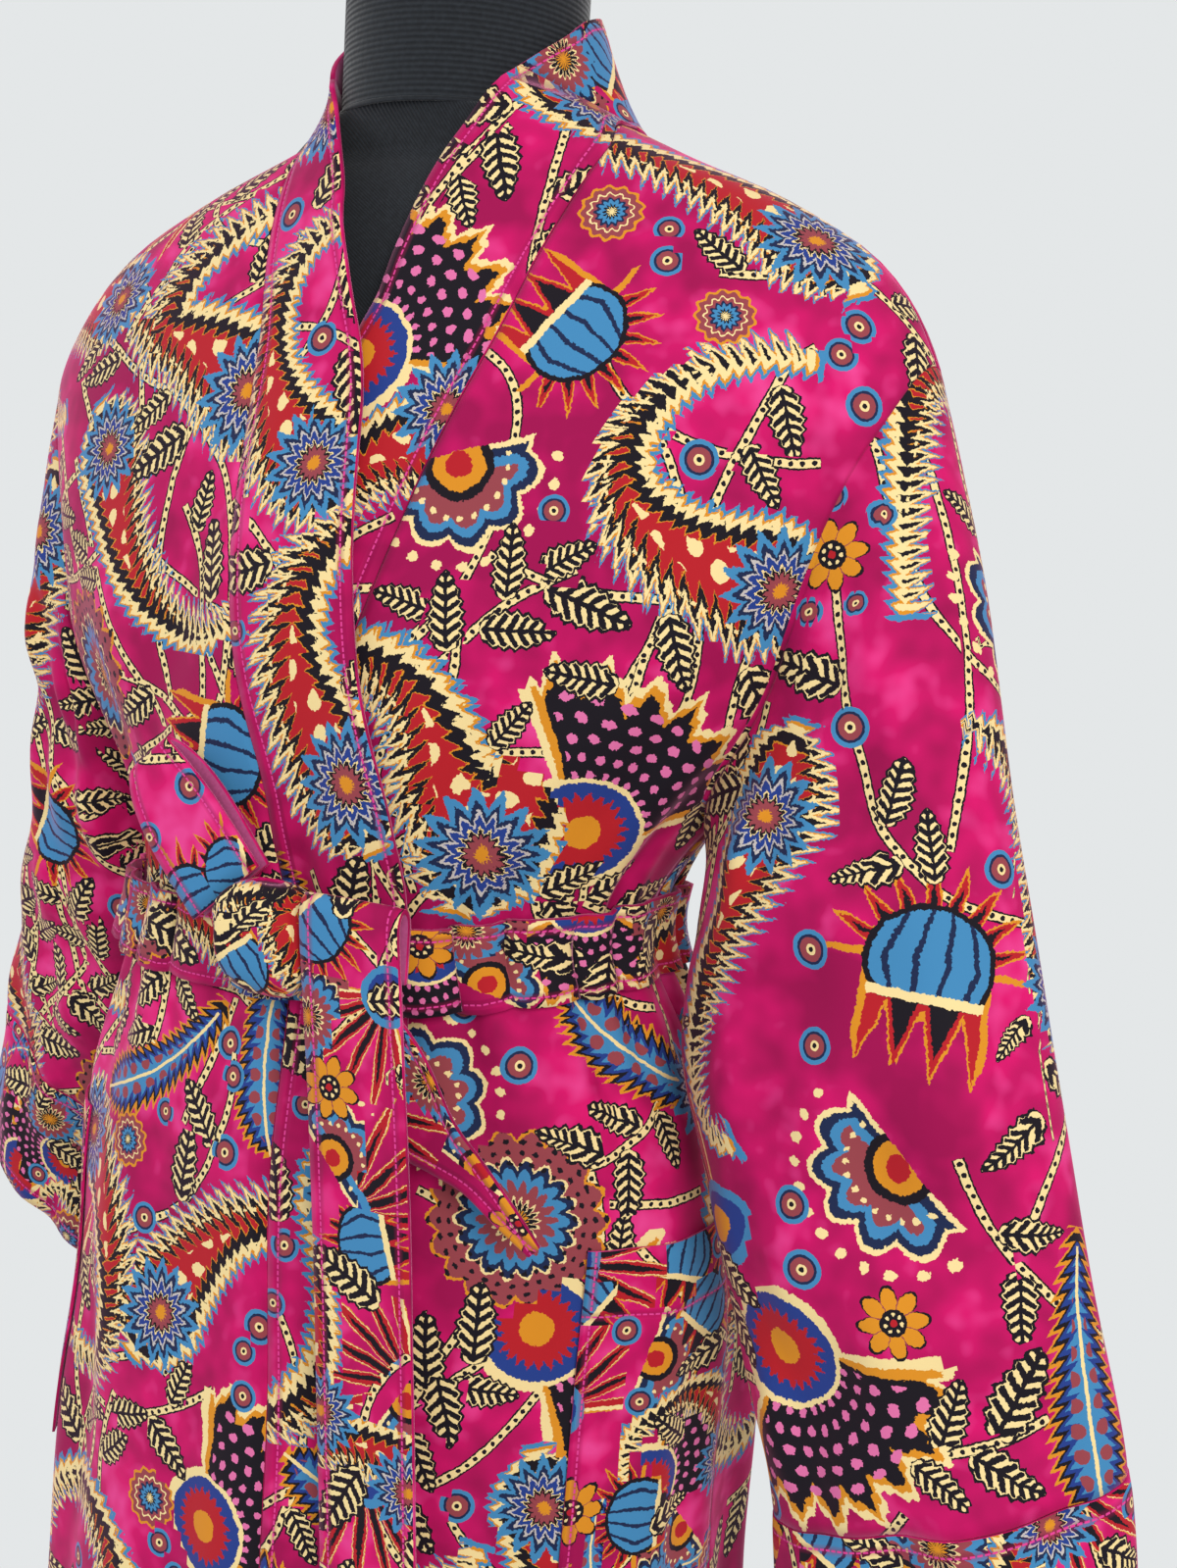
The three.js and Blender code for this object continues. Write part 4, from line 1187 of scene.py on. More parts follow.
class Velvet:
    """Cotton velvet: short upright pile that drinks light face on and glows at a slant."""

    def __init__(self) -> None:
        """Makes the printed face and the plain reverse."""
        self.face = self._printed()
        self.reverse = WEAVE.material()

    def _printed(self) -> bpy.types.Material:
        """The pile side with the print, the topstitching, and the pile's uneven shine painted into
        the colour as deep pink painted shade and pale pink painted sheen.
        """
        p = Painter(
            "printed_cotton_velvet", 0.8, Sheen_Weight=0.3, Sheen_Roughness=0.35,
            Sheen_Tint=linear("FF9CCB"), Specular_IOR_Level=0.15,
        )
        place = p.add("ShaderNodeTexCoord").outputs["Object"]
        fine = p.add("ShaderNodeTexNoise", {"Vector": place, "Scale": 700.0, "Detail": 1.0})
        fuzz = p.add("ShaderNodeSeparateColor", {0: fine.outputs["Color"]})
        broad = p.add("ShaderNodeTexNoise", {"Vector": place, "Scale": 80.0, "Detail": 1.0})
        bent = p.add("ShaderNodeSeparateColor", {0: broad.outputs["Color"]})
        p.names.update(f=fuzz.outputs[0], g=fuzz.outputs[1], h=bent.outputs[0], k=bent.outputs[1])
        p.names.update(wave_x=p.line("f + h * 1.6 - 1.3"), wave_y=p.line("g + k * 1.6 - 1.3"))
        smear = {"Vector": place, "Scale": 14.0, "Detail": 3.0, "Roughness": 0.72}
        nap = p.add("ShaderNodeTexNoise", smear).outputs["Fac"]
        p.names.update(nap=nap, brushed=bent.outputs[2])
        # The ground's colour: deep pink patches are painted shade and pale pink patches are painted
        # sheen, both laid by noise over the pile's random tone
        colour = linear(Dye.PINK_DEEP.value)
        for share, dye in (
            ("min(max((nap - 0.4) * 4.6, 0), 1)", Dye.PINK),
            ("min(max((nap * 0.7 + brushed * 0.3 - 0.53) * 7, 0), 1) * 0.75", Dye.PINK_LIGHT),
        ):
            layers = {0: p.line(share), 6: colour, 7: linear(dye.value)}
            colour = p.add("ShaderNodeMix", layers, data_type="RGBA").outputs[2]
        for layer, motifs in LAYERS.items():
            vector = p.add("ShaderNodeAttribute", attribute_name=layer).outputs["Vector"]
            parts = p.add("ShaderNodeSeparateXYZ", {0: vector})
            p.names.update(x0=parts.outputs[0], y0=parts.outputs[1], code=parts.outputs[2])
            for motif in motifs:
                colour = p.draw(motif, layer, colour)
        p.dress(self._stitching(p, colour), "nap * 0.6 + groove", (0.0014, 0.55))
        return p.material

    def _stitching(self, p: Painter, colour: Socket) -> Socket:
        """Draws rows of topstitching, 3 mm to a stitch, in a groove of the pile, with painted shade
        darkening the groove.
        """
        vector = p.add("ShaderNodeAttribute", attribute_name="stitch").outputs["Vector"]
        parts = p.add("ShaderNodeSeparateXYZ", {0: vector})
        p.names.update(d=parts.outputs[0], s=parts.outputs[1], on=parts.outputs[2])
        p.names["groove"] = p.line("max(1 - abs(d) / 2.4, 0) * on * (0 - 1.1)")
        # Painted shade: the colour darkens towards the seam's dark pink down in the stitch groove
        layers = {0: p.line("groove * (0 - 0.5)"), 6: colour, 7: linear(Dye.SEAM_SHADE.value)}
        colour = p.add("ShaderNodeMix", layers, data_type="RGBA").outputs[2]
        thread = "max(max(abs(d) - 0.42, abs(frac(s / 3) - 0.5) * 3 - 1.05), 0.5 - on)"
        return p.mark(colour, Dye.THREAD, thread)


class Cutter:
    """Turns grids into walls of cloth with their print, stitching and materials."""

    def __init__(self, velvet: Velvet) -> None:
        """Keeps the cloth that the pieces are cut from."""
        self.velvet = velvet

    def _walls(self, grid: Grid) -> tuple[Array, Array, int]:
        """The wall's vertices and faces, with how many faces are on the outer side."""
        tall, wide = grid.points.shape[:2]
        edge = np.ones((tall, wide))
        for k, share in enumerate((0.7, 0.94)):
            edge[k] = np.minimum(edge[k], share)
            edge[-1 - k] = np.minimum(edge[-1 - k], share)
            if not grid.closed:
                edge[:, k] = np.minimum(edge[:, k], share)
                edge[:, -1 - k] = np.minimum(edge[:, -1 - k], share)
        half = grid.normals * (grid.thick / 2 * edge)[..., None]
        sides = [(grid.points + half).reshape(-1, 3), (grid.points - half).reshape(-1, 3)]
        columns = np.arange(wide if grid.closed else wide - 1)
        i, j = (part.ravel() for part in np.meshgrid(np.arange(tall - 1), columns, indexing="ij"))
        nxt = (j + 1) % wide

        def quads(*corners: tuple[int, Array, Array]) -> Array:
            """Faces, from the side, row and column of each corner."""
            places = [(side * tall + row) * wide + column for side, row, column in corners]
            return np.stack(places, 1)

        outer = quads((0, i, j), (0, i, nxt), (0, i + 1, nxt), (0, i + 1, j))
        inner = quads((1, i, j), (1, i + 1, j), (1, i + 1, nxt), (1, i, nxt))
        c, d, top = columns, (columns + 1) % wide, tall - 1
        rims = [
            quads((0, 0, c), (1, 0, c), (1, 0, d), (0, 0, d)),
            quads((0, top, c), (0, top, d), (1, top, d), (1, top, c)),
        ]
        if not grid.closed:
            r, last = np.arange(tall - 1), wide - 1
            rims += [
                quads((0, r, 0), (0, r + 1, 0), (1, r + 1, 0), (1, r, 0)),
                quads((0, r, last), (1, r, last), (1, r + 1, last), (0, r + 1, last)),
            ]
        return np.concatenate(sides), np.concatenate([outer, inner, *rims]), len(outer)

    def _stitch_rows(self, grid: Grid) -> Array:
        """Each outer face's distance to its nearest row of stitching, and the place along it."""
        faces = len(grid.corners(grid.points))
        values = np.zeros((faces, 4, 3), np.float32)
        best = np.full(faces, 9.0)
        width = np.broadcast_to(grid.across[:, -1:], grid.across.shape)
        length = np.broadcast_to(grid.along[:, None], grid.across.shape)
        measures = {
            "left": (grid.across, length),
            "right": (width - grid.across, length),
            "low": (length, grid.across),
            "top": (grid.along[-1] - length, grid.across),
        }
        for edge, offset in grid.stitches:
            gap, along = measures[edge]
            gap = grid.corners(gap - offset)
            along = grid.corners(along)
            nearer = np.abs(gap.mean(1)) < best
            best[nearer] = np.abs(gap.mean(1))[nearer]
            values[nearer] = np.stack([gap, along, np.ones_like(gap)], -1)[nearer]
        return values

    def cut(self, grid: Grid) -> bpy.types.Object:
        """Makes the piece of cloth.

        Args:
            grid: the sheet's points and finish.

        Returns:
            The object, in metres at the origin.
        """
        vertices, faces, outer = self._walls(grid)
        row, column = grid.points.shape[0] // 2, grid.points.shape[1] // 2
        wide = grid.points.shape[1] - (0 if grid.closed else 1)
        quad = vertices[faces[row * wide + column]]
        facing = np.cross(quad[1] - quad[0], quad[2] - quad[0])
        flipped = float(facing @ grid.normals[row, column]) < 0
        order = [3, 2, 1, 0] if flipped else [0, 1, 2, 3]
        faces = faces[:, order]
        mesh = bpy.data.meshes.new(grid.name)
        mesh.vertices.add(len(vertices))
        mesh.vertices.foreach_set("co", (vertices * MM).astype(np.float32).ravel())
        mesh.loops.add(faces.size)
        mesh.loops.foreach_set("vertex_index", faces.astype(np.int32).ravel())
        mesh.polygons.add(len(faces))
        mesh.polygons.foreach_set("loop_start", np.arange(0, faces.size, 4, dtype=np.int32))
        slots = np.ones(len(faces), np.int32)
        slots[:outer] = 0
        slots[2 * outer:] = 0
        mesh.polygons.foreach_set("material_index", slots)
        mesh.update(calc_edges=True)
        mesh.validate()
        laid = Print(grid)
        laid.values["stitch"] = self._stitch_rows(grid)
        for name, values in laid.values.items():
            whole = np.zeros((len(faces), 4, 3), np.float32)
            whole[:outer] = values[:, order]
            layer = mesh.attributes.new(name, "FLOAT_VECTOR", "CORNER")
            layer.data.foreach_set("vector", whole.ravel())
        piece = bpy.data.objects.new(grid.name, mesh)
        bpy.context.collection.objects.link(piece)
        mesh.materials.append(self.velvet.face)
        mesh.materials.append(self.velvet.reverse)
        mesh.shade_smooth()
        return piece


@dataclass
class Robe:
    """The robe: panels, sleeves, bands, pockets and belt, in millimetres."""

    cutter: Cutter
    front_steps: int = 50
    back_steps: int = 96
    band_steps: int = 11
    neck_steps: int = 48
    sleeve_steps: int = 92
    cuff_steps: int = 16
    sleeve_round: int = 84
    pocket_low: float = 744.0
    pocket_top: float = 933.0
    pocket_shares: tuple[float, float] = (0.4 / 14, 5.6 / 14)
    pocket_lift: float = 2.7
    cuff_start: float = 1.0012
    cuff_end: float = 1.2
    root_inset: float = 1.2
    root_lift: float = 2.3
    root_rise: float = 1.7
    root_tucks: tuple[float, float] = (3.5, 7.0)
    neck_edge_radius: float = 64.0
    joint_turn: float = -37.0
    joint_gap: float = 0.003
    belt_cloth: float = 3.4
    belt_width: float = 42.0
    belt_front: float = 1043.0
    belt_rise: float = 19.0
    belt_lift: float = 4.9
    belt_over_bands: float = 6.0
    tail_width: float = 51.0
    knot_middle: tuple[float, float, float] = (0.5, -145.5, 1061.0)
    knot_half: tuple[float, float, float] = (25.0, 15.0, 26.0)
    knot_square: float = 0.62
    knot_lean: float = -2.0
    loop_root: tuple[float, float, float] = (-23.2, -144.0, 1078.1)
    loop_long: float = 76.0
    loop_lean: float = 131.0
    loop_deep: float = 8.0
    loop_widths: tuple[float, float] = (46.0, 28.0)
    grids: list[Grid] = field(default_factory=list)

    # Rows of topstitching: the edge that each follows, and how far off it lies
    STITCHES = {
        "hem": (("low", 22),),
        "pocket": (("left", 4), ("right", 4), ("low", 4), ("top", 32)),
        "band": (("left", 6), ("right", 5)),
        "cuff": (("low", 6), ("top", 8)),
        "belt": (("low", 5), ("top", 5)),
        "loop": (("left", 5), ("right", 5)),
        "tail": (("left", 5), ("right", 5), ("low", 5)),
    }

    def _keep(
        self, name: str, points: Array, normals: Array, thick: float, rows: str = "",
        waves: float = 0.0, closed: bool = False,
    ) -> None:
        """Notes a piece's grid.

        Args:
            name: the piece's name.
            points: the middle of its wall.
            normals: the directions that the points face.
            thick: the wall's thickness.
            rows: which rows of topstitching it has.
            waves: the height of its own low waves.
            closed: whether it runs round.
        """
        seed = len(self.grids) + 3
        if waves:
            points = points + normals * wrinkles(points, waves, seed)[..., None]
        stitches = self.STITCHES.get(rows, ())
        self.grids.append(Grid(name, points, normals, thick, closed, stitches, seed * 7 + 5))

    def fronts(self) -> None:
        """The two fronts, from the side seam to the band's seam."""
        z = heights()
        share = np.linspace(0, 1, self.front_steps + 1)
        for side in Side:
            outer = -panel_edge(z, "front")
            inner = turn_at_x(z, SEAMS.at(side.value, z))
            gap = BAND_SEAM / BODY.at("front", z)
            if side is Side.LEFT:
                start, end = outer, inner + gap
            else:
                start, end = -np.pi - outer, inner - gap
            turn = start[:, None] + (end - start)[:, None] * share
            rows = np.broadcast_to(z[:, None], turn.shape)
            points, normals = on_body(rows, turn, side.lift(rows, turn))
            self._keep(f"robe_front_{side.value}", points, normals, CLOTH, "hem")

    def back(self) -> None:
        """The back, from side seam to side seam."""
        z = heights()
        edge = panel_edge(z, "back")
        share = np.linspace(0, 1, self.back_steps + 1)
        turn = edge[:, None] + (np.pi - 2 * edge)[:, None] * share
        points, normals = on_body(np.broadcast_to(z[:, None], turn.shape), turn)
        self._keep("robe_back", points, normals, CLOTH, "hem")

    def pockets(self) -> None:
        """The patch pockets, on the fronts' own points."""
        first, last = (round(share * self.front_steps) for share in self.pocket_shares)
        for side, front in zip(Side, self.grids[:2]):
            z = front.points[:, 0, 2]
            rows = np.flatnonzero((z > self.pocket_low) & (z < self.pocket_top))
            patch = slice(rows[0], rows[-1] + 1), slice(first, last + 1)
            points, normals = front.points[patch], front.normals[patch]
            points = points + normals * self.pocket_lift
            self._keep(f"robe_pocket_{side.value}", points, normals, CLOTH, "pocket")

    def _band_row(self, side: Side, z: float) -> Array:
        """A row of points across a front band at one height of its seam."""
        seam = float(SEAMS.at(side.value, z))
        above, below = SEAMS.at(side.value, z + 4), SEAMS.at(side.value, max(z - 4, HEM))
        slope = float(above - below) / 8
        length = math.hypot(1, slope)
        across = np.linspace(0, BAND_WIDTH, self.band_steps + 1) + SEAM
        height = np.minimum(z + abs(slope) * across / length, NECK_POINT)
        turn = turn_at_x(height, seam - side.sign * across / length)
        flat = on_body(height, turn, side.lift(height, turn))[0]
        flat[0, 2] += self.root_rise * float(smooth(NECK_POINT - 12, NECK_POINT, z))
        edge = np.array([float(FREE_EDGE.at(side.value + axis, z)) for axis in "XYZ"])
        share = np.linspace(0, 1, self.band_steps + 1)[:, None]
        stood = flat[0] + (edge - flat[0]) * share
        start, end = (1325, 1372) if side is Side.LEFT else (1290, 1345)
        return flat + (stood - flat) * float(smooth(start, end, z))

    def _neck_edge(self, degrees: float) -> Array:
        """A point of the band's standing edge round the neck."""
        height = float(NECK_EDGE.at("height", 180 - degrees if degrees > 90 else degrees))
        turn = math.radians(degrees)
        x = self.neck_edge_radius * math.cos(turn)
        return np.array([x, NECK_MIDDLE + self.neck_edge_radius * math.sin(turn), height])

    def bands(self) -> None:
        """The long band in three stretches, sampled in one run so that its joints meet."""
        share = np.linspace(0, 1, self.band_steps + 1)[:, None]

        def spread(root: Array, edge: Array) -> Array:
            """Points from the seam to the free edge."""
            return root + (edge - root) * share

        def shoulder(side: Side) -> Array:
            """The last row of a front band."""
            turn = -self.joint_gap if side is Side.LEFT else self.joint_gap - np.pi
            root = on_body(NECK_POINT, turn)[0] + [0, 0, self.root_rise]
            edge = self._neck_edge(self.joint_turn - math.degrees(self.joint_gap))
            return spread(root, edge * [side.sign, 1, 1])

        left, right = (
            np.array([*(self._band_row(side, z) for z in heights()), shoulder(side)])
            for side in Side
        )
        turns = np.linspace(self.joint_gap, np.pi - self.joint_gap, self.neck_steps + 1)
        edges = np.linspace(self.joint_turn, 180 - self.joint_turn, self.neck_steps + 1)
        neck = np.array([
            spread(on_body(NECK_POINT, turn)[0] + [0, 0, self.root_rise], self._neck_edge(edge))
            for turn, edge in zip(turns, edges)
        ])
        run = np.concatenate([left, neck, right[::-1]])
        outward = run - np.array([0, NECK_MIDDLE, 0])
        outward[..., 2] = 0.3 * self.neck_edge_radius
        normals = grid_normals(run, outward, False)
        count, after = len(left), len(left) + len(neck)
        for last in (count - 1, after - 1):
            normals[last] = unit(normals[last] + normals[last + 1])
            normals[last + 1] = normals[last]
        for name, part in (
            ("left", slice(0, count)), ("neck", slice(count, after)), ("right", slice(after, None)),
        ):
            self._keep(f"robe_band_{name}", run[part], normals[part], DOUBLED, "band")

    def _sleeve_ring(self, side: Side, share: float, angles: Array, tuck: float = 0.0) -> Array:
        """A ring of the sleeve at a share of its length, or tucked under the armhole's edge."""
        turn = np.radians(angles)

        def place(at: float) -> Array:
            """The ring before it is led to the armhole."""
            out_x, out_z, in_x, in_z, y, deep = (
                float(SLEEVES[side.value].at(name, at)) for name in SLEEVE_COLUMNS[1:]
            )
            fold = np.zeros(len(angles))
            for angle, width, depth, low, high, drift in SLEEVE_FOLDS.rows:
                along = smooth(low + 0.1, low + 0.35, at) * (1 - smooth(high - 0.3, high, at))
                off = ((angles - angle - drift * at + 180) % 360 - 180) / width
                fold += depth * along * crest(off)
            for around, lengthwise, phase, height in SLEEVE_CRUMPLES.rows:
                wave = np.sin(around * turn + lengthwise * at + phase + side.sign)
                fold += height * float(smooth(0.04, 0.3, at)) * wave
            out, inner = np.array([out_x, y, out_z]), np.array([in_x, y, in_z])
            middle = (out + inner) / 2
            points = middle + (out - middle) * np.cos(turn)[:, None]
            points[:, 1] -= (deep + fold) * np.sin(turn)
            return points

        inset = self.root_inset - tuck
        z = ARMPIT + ARMHOLE / 2 + (ARMHOLE / 2 - inset) * np.cos(turn)
        reach = (ARMHOLE_REACH - inset) * np.abs(np.sin(turn))
        front = np.sin(turn) >= 0
        off = np.where(front, -edge_turn(z, "front", reach), edge_turn(z, "back", reach))
        lift = self.root_lift * (1 - np.cos(turn)) / 2 - min(tuck, 3.0)
        root = on_body(z, off if side is Side.LEFT else np.pi - off, lift)[0]
        blend = 1 - float(smooth(0, 0.3, share))
        return place(share) + (root - place(0)) * blend

    def sleeves(self) -> None:
        """The sleeves and their cuffs."""
        angles = np.arange(self.sleeve_round) * 360 / self.sleeve_round
        shares = np.linspace(0, 1, self.sleeve_steps) ** 1.15
        cuffs = np.linspace(self.cuff_start, self.cuff_end, self.cuff_steps)
        for side in Side:
            for name, steps, thick in (("sleeve", shares, CLOTH), ("cuff", cuffs, DOUBLED)):
                rings = [self._sleeve_ring(side, float(at), angles) for at in steps]
                if name == "sleeve":
                    for tuck in self.root_tucks:
                        rings.insert(0, self._sleeve_ring(side, 0.0, angles, tuck))
                points = np.array(rings)
                normals = grid_normals(points, points - points.mean(1, keepdims=True), True)
                self._keep(f"robe_{name}_{side.value}", points, normals, thick, name, closed=True)

    def belt(self) -> None:
        """The tied belt: its stretch round the waist, knot, loop and two tails."""
        turn = np.linspace(0, 2 * np.pi, 181)[:-1]
        height = self.belt_front + self.belt_rise * ((1 + np.cos(turn)) / 2) ** 2.5
        x = body_point(height, turn, BODY, False)[..., 0]
        free = SEAMS.at("right", height) + BAND_WIDTH
        left_edge = SEAMS.at("left", height - 16) - BAND_WIDTH
        over = smooth(-70, -30, x - left_edge) * (1 - smooth(free + 5, free + 35, x))
        lift = self.belt_lift + self.belt_over_bands * over * (np.sin(turn) < 0)
        rows = np.linspace(-0.5, 0.5, 9)[:, None] * self.belt_width + height
        turn, lift = np.broadcast_to(turn, rows.shape), np.broadcast_to(lift, rows.shape)
        points, normals = on_body(rows, turn, lift)
        self._keep("belt_waist_cloth", points, normals, self.belt_cloth, "belt", 0.5, True)
        self._knot()
        self._loop()
        step = np.linspace(0, 23, 90)
        middle = TAIL.places(step)
        across, width = np.array([1.0, 0, 0]), np.full(len(step), self.tail_width)
        self._ribbon("belt_tail_front_cloth", middle, across, width, "tail", 0.35)
        step = np.linspace(0, 7, 46)
        tilt = np.radians(SIDE_TAIL.at("tilt", step))
        across = np.stack([np.cos(tilt), np.zeros(len(step)), np.sin(tilt)], -1)
        width = SIDE_TAIL.at("width", step)
        self._ribbon("belt_tail_side_cloth", SIDE_TAIL.places(step), across, width, "tail", 0.35)

    def _ribbon(
        self, name: str, middle: Array, across: Array, width: Array, rows: str, waves: float
    ) -> None:
        """A stretch of belt.

        Args:
            name: the piece's name.
            middle: points along its middle.
            across: its direction across, or one for each point.
            width: its width at each point.
            rows: which rows of topstitching it has.
            waves: the height of its own low waves.
        """
        share = np.linspace(-0.5, 0.5, 11)
        across = np.broadcast_to(across, middle.shape)[:, None]
        points = middle[:, None] + across * (share[None, :, None] * width[:, None, None])
        along = np.gradient(points, axis=0)
        normals = unit(np.cross(np.broadcast_to(across, points.shape), along))
        if normals[0, 5, 1] > 0:
            normals = -normals
        self._keep(name, points, normals, self.belt_cloth, rows, waves)

    def _knot(self) -> None:
        """The knot: the belt drawn round itself, with creases that run down into it."""
        up = np.linspace(-0.97, 0.97, 34)[:, None]
        turn = (np.arange(72) * 2 * np.pi / 72)[None]
        girth = (1 - np.abs(up) ** 3) ** 0.5
        crease = 1 + 0.05 * np.sin(turn * 5 + up * 2.2) * np.cos(up * 1.3)
        crease = crease + 0.025 * np.sin(turn * 11 - up * 3)
        (x, y, z), (half, deep, high) = self.knot_middle, self.knot_half
        points = np.stack([
            x + half * girth * crease * power(np.cos(turn), self.knot_square) + self.knot_lean * up,
            y + deep * girth * crease * power(np.sin(turn), self.knot_square),
            z + high * up + 0 * turn,
        ], -1)
        normals = grid_normals(points, points - self.knot_middle, True)
        self._keep("belt_knot_wrap", points, normals, self.belt_cloth - 1, closed=True)

    def _loop(self) -> None:
        """The bow's one loop, out to the wearer's upper right and back behind."""
        turn = np.linspace(0, np.pi, 64)
        lean = math.radians(self.loop_lean)
        along = np.array([math.cos(lean), 0.02, math.sin(lean)])
        across = unit(np.array([-math.sin(lean), 0, math.cos(lean)]))
        out = self.loop_long * np.sin(turn) ** 0.7
        middle = np.array(self.loop_root) + along * out[:, None]
        middle[:, 1] -= self.loop_deep * np.cos(turn) * (0.5 + 0.5 * np.sin(turn))
        root, tip = self.loop_widths
        width = root + (tip - root) * (out / self.loop_long) ** 4
        self._ribbon("belt_bow_loop_cloth", middle, across, width, "loop", 0.5)

    # The CAD node, the slot, how the sheet is held and what it rests on
    PIECES = {
        "robe_front_left": ("front_left", "velvet_panels", "hung", "form_torso"),
        "robe_front_right": ("front_right", "velvet_panels", "hung", "form_torso"),
        "robe_back": ("back", "velvet_panels", "hung", "form_torso"),
        "robe_pocket_left": ("pocket_left", "velvet_panels", "hung", "robe_front_left"),
        "robe_pocket_right": ("pocket_right", "velvet_panels", "hung", "robe_front_right"),
        "robe_band_left": ("band_left_front", "velvet_bands", "hung", "robe_front_left"),
        "robe_band_right": ("band_right_front", "velvet_bands", "hung", "robe_front_right"),
        "robe_band_neck": ("band_back_neck", "velvet_bands", "hung", "robe_back"),
        "robe_sleeve_left": ("sleeve_left", "velvet_sleeves", "hung", "robe_front_left"),
        "robe_sleeve_right": ("sleeve_right", "velvet_sleeves", "hung", "robe_front_right"),
        "robe_cuff_left": ("cuff_left", "velvet_sleeves", "hung", "robe_sleeve_left"),
        "robe_cuff_right": ("cuff_right", "velvet_sleeves", "hung", "robe_sleeve_right"),
        "belt_waist_cloth": ("belt_waist", "velvet_belt", "gathered", "robe_back"),
        "belt_knot_wrap": ("belt_knot", "velvet_belt", "folded", "belt_waist"),
        "belt_bow_loop_cloth": ("belt_bow_loop", "velvet_belt", "folded", "belt_knot_wrap"),
        "belt_tail_front_cloth": ("belt_tail_front", "velvet_belt", "hung", "belt_knot_wrap"),
        "belt_tail_side_cloth": ("belt_tail_side", "velvet_belt", "hung", "belt_knot_wrap"),
    }

    def build(self) -> None:
        """Makes every piece of the robe, hangs it under the root and hides the CAD part that it
        stands in for.
        """
        self.fronts()
        self.back()
        self.pockets()
        self.bands()
        self.sleeves()
        self.belt()
        for grid in self.grids:
            node, slot, held, rests_on = self.PIECES[grid.name]
            piece = self.cutter.cut(grid)
            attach(piece, "root")
            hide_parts(node)
            width, length = grid.flat_size()
            LOG.info("%s: %.3f x %.3f m", grid.name, width, length)


@dataclass
class Form:
    """The limbless dress form with its ribbed neck cover and cap, in millimetres."""

    around: int = 128
    foot: float = 700.0
    shoulder: float = 1424.0
    neck_radius: float = 59.0
    neck_low: float = 1442.0
    neck_high: float = 1511.7
    collar_radius: float = 59.4
    collar_height: float = 1441.7
    piping_radius: float = 1.1
    cap: tuple[tuple[float, float], ...] = (
        (59.5, 1512), (61, 1512.6), (61.5, 1514), (61.5, 1519), (60.4, 1521.4), (57.5, 1523),
        (40, 1523.2), (20, 1523.3),
    )

    def build(self) -> None:
        """Makes the torso, the neck and the cap."""
        twill, knit = TWILL.material(), KNIT.material()
        low, high = self.neck_low, self.neck_high
        heights_up = [low, *np.linspace(low + 1, high - 1, 24), high]
        neck = [self._ring(self.neck_radius, z) for z in heights_up]
        cap = [self._ring(radius, z) for radius, z in self.cap]
        torso = self._loft("form_torso_cover", self._torso(), twill)
        for piece, node in (
            (torso, "form_torso"),
            (self._loft("form_neck_cover", neck, knit), "form_neck"),
            (self._loft("form_neck_disc", cap, CAP_PAINT.material()), "form_neck_cap"),
            (self._piping(knit), ""),
        ):
            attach(piece, "root")
            if node:
                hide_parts(node)
            LOG.info("%s built", piece.name)

    def _ring(self, radius: float, z: float) -> Array:
        """A round ring about the neck's middle."""
        turn = np.arange(self.around) * 2 * np.pi / self.around
        x, y = radius * np.cos(turn), NECK_MIDDLE + radius * np.sin(turn)
        return np.stack([x, y, np.full(self.around, z)], -1)

    def _torso(self) -> list[Array]:
        """The torso's rings: drawn in at the foot, snug under the robe, closed to the neck."""
        turn = np.arange(self.around) * 2 * np.pi / self.around
        drawn_in = {self.foot: 0.93, self.foot + 1: 0.96, self.foot + 4: 0.985}
        rings = []
        for z in [*drawn_in, *np.linspace(self.foot + 10, self.shoulder, 120)]:
            inset = 1.9 + 2.4 * np.abs(np.sin(turn))
            facing = body_normal(np.full(self.around, z), turn)
            snug = body_point(z, turn, BODY, False) - facing * inset[:, None]
            ring = body_point(z, turn, FORM, False)
            ring = ring + (snug - ring) * float(smooth(1345, 1400, z))
            if z in drawn_in:
                ring[:, 0] *= drawn_in[z]
                ring[:, 1] = NECK_MIDDLE + (ring[:, 1] - NECK_MIDDLE) * drawn_in[z]
            rings.append(ring)
        last, target = rings[-1], self._ring(self.collar_radius, self.collar_height)
        for share in np.arange(1, 15) / 14:
            ring = last + (target - last) * share
            ring[:, 2] = last[:, 2] + (self.collar_height - last[:, 2]) * (1 - (1 - share) ** 1.8)
            rings.append(ring)
        return rings

    def _piping(self, material: bpy.types.Material) -> bpy.types.Object:
        """The raised seam where the neck's cover meets the torso's."""
        bpy.ops.object.select_all(action="DESELECT")
        bpy.ops.mesh.primitive_torus_add(
            major_segments=self.around, minor_segments=10, major_radius=self.collar_radius * MM,
            minor_radius=self.piping_radius * MM,
            location=(0, NECK_MIDDLE * MM, self.neck_low * MM),
        )
        bpy.ops.object.transform_apply(location=True, rotation=True, scale=True)
        piece = bpy.context.active_object
        piece.name = piece.data.name = "form_neck_seam"
        piece.data.materials.append(material)
        piece.data.shade_smooth()
        return piece

    def _loft(
        self, name: str, rings: list[Array], material: bpy.types.Material
    ) -> bpy.types.Object:
        """A closed solid through rings of points, with capped ends."""
        built = bmesh.new()
        rows = [[built.verts.new(Vector(point) * MM) for point in ring] for ring in rings]
        for low, high in zip(rows, rows[1:]):
            for j in range(self.around):
                nxt = (j + 1) % self.around
                built.faces.new((low[j], low[nxt], high[nxt], high[j]))
        built.faces.new(rows[0][::-1])
        built.faces.new(rows[-1])
        bmesh.ops.recalc_face_normals(built, faces=built.faces[:])
        mesh = bpy.data.meshes.new(name)
        built.to_mesh(mesh)
        built.free()
        mesh.materials.append(material)
        mesh.shade_smooth()
        piece = bpy.data.objects.new(name, mesh)
        bpy.context.collection.objects.link(piece)
        mesh.set_sharp_from_angle(angle=math.radians(50))
        return piece


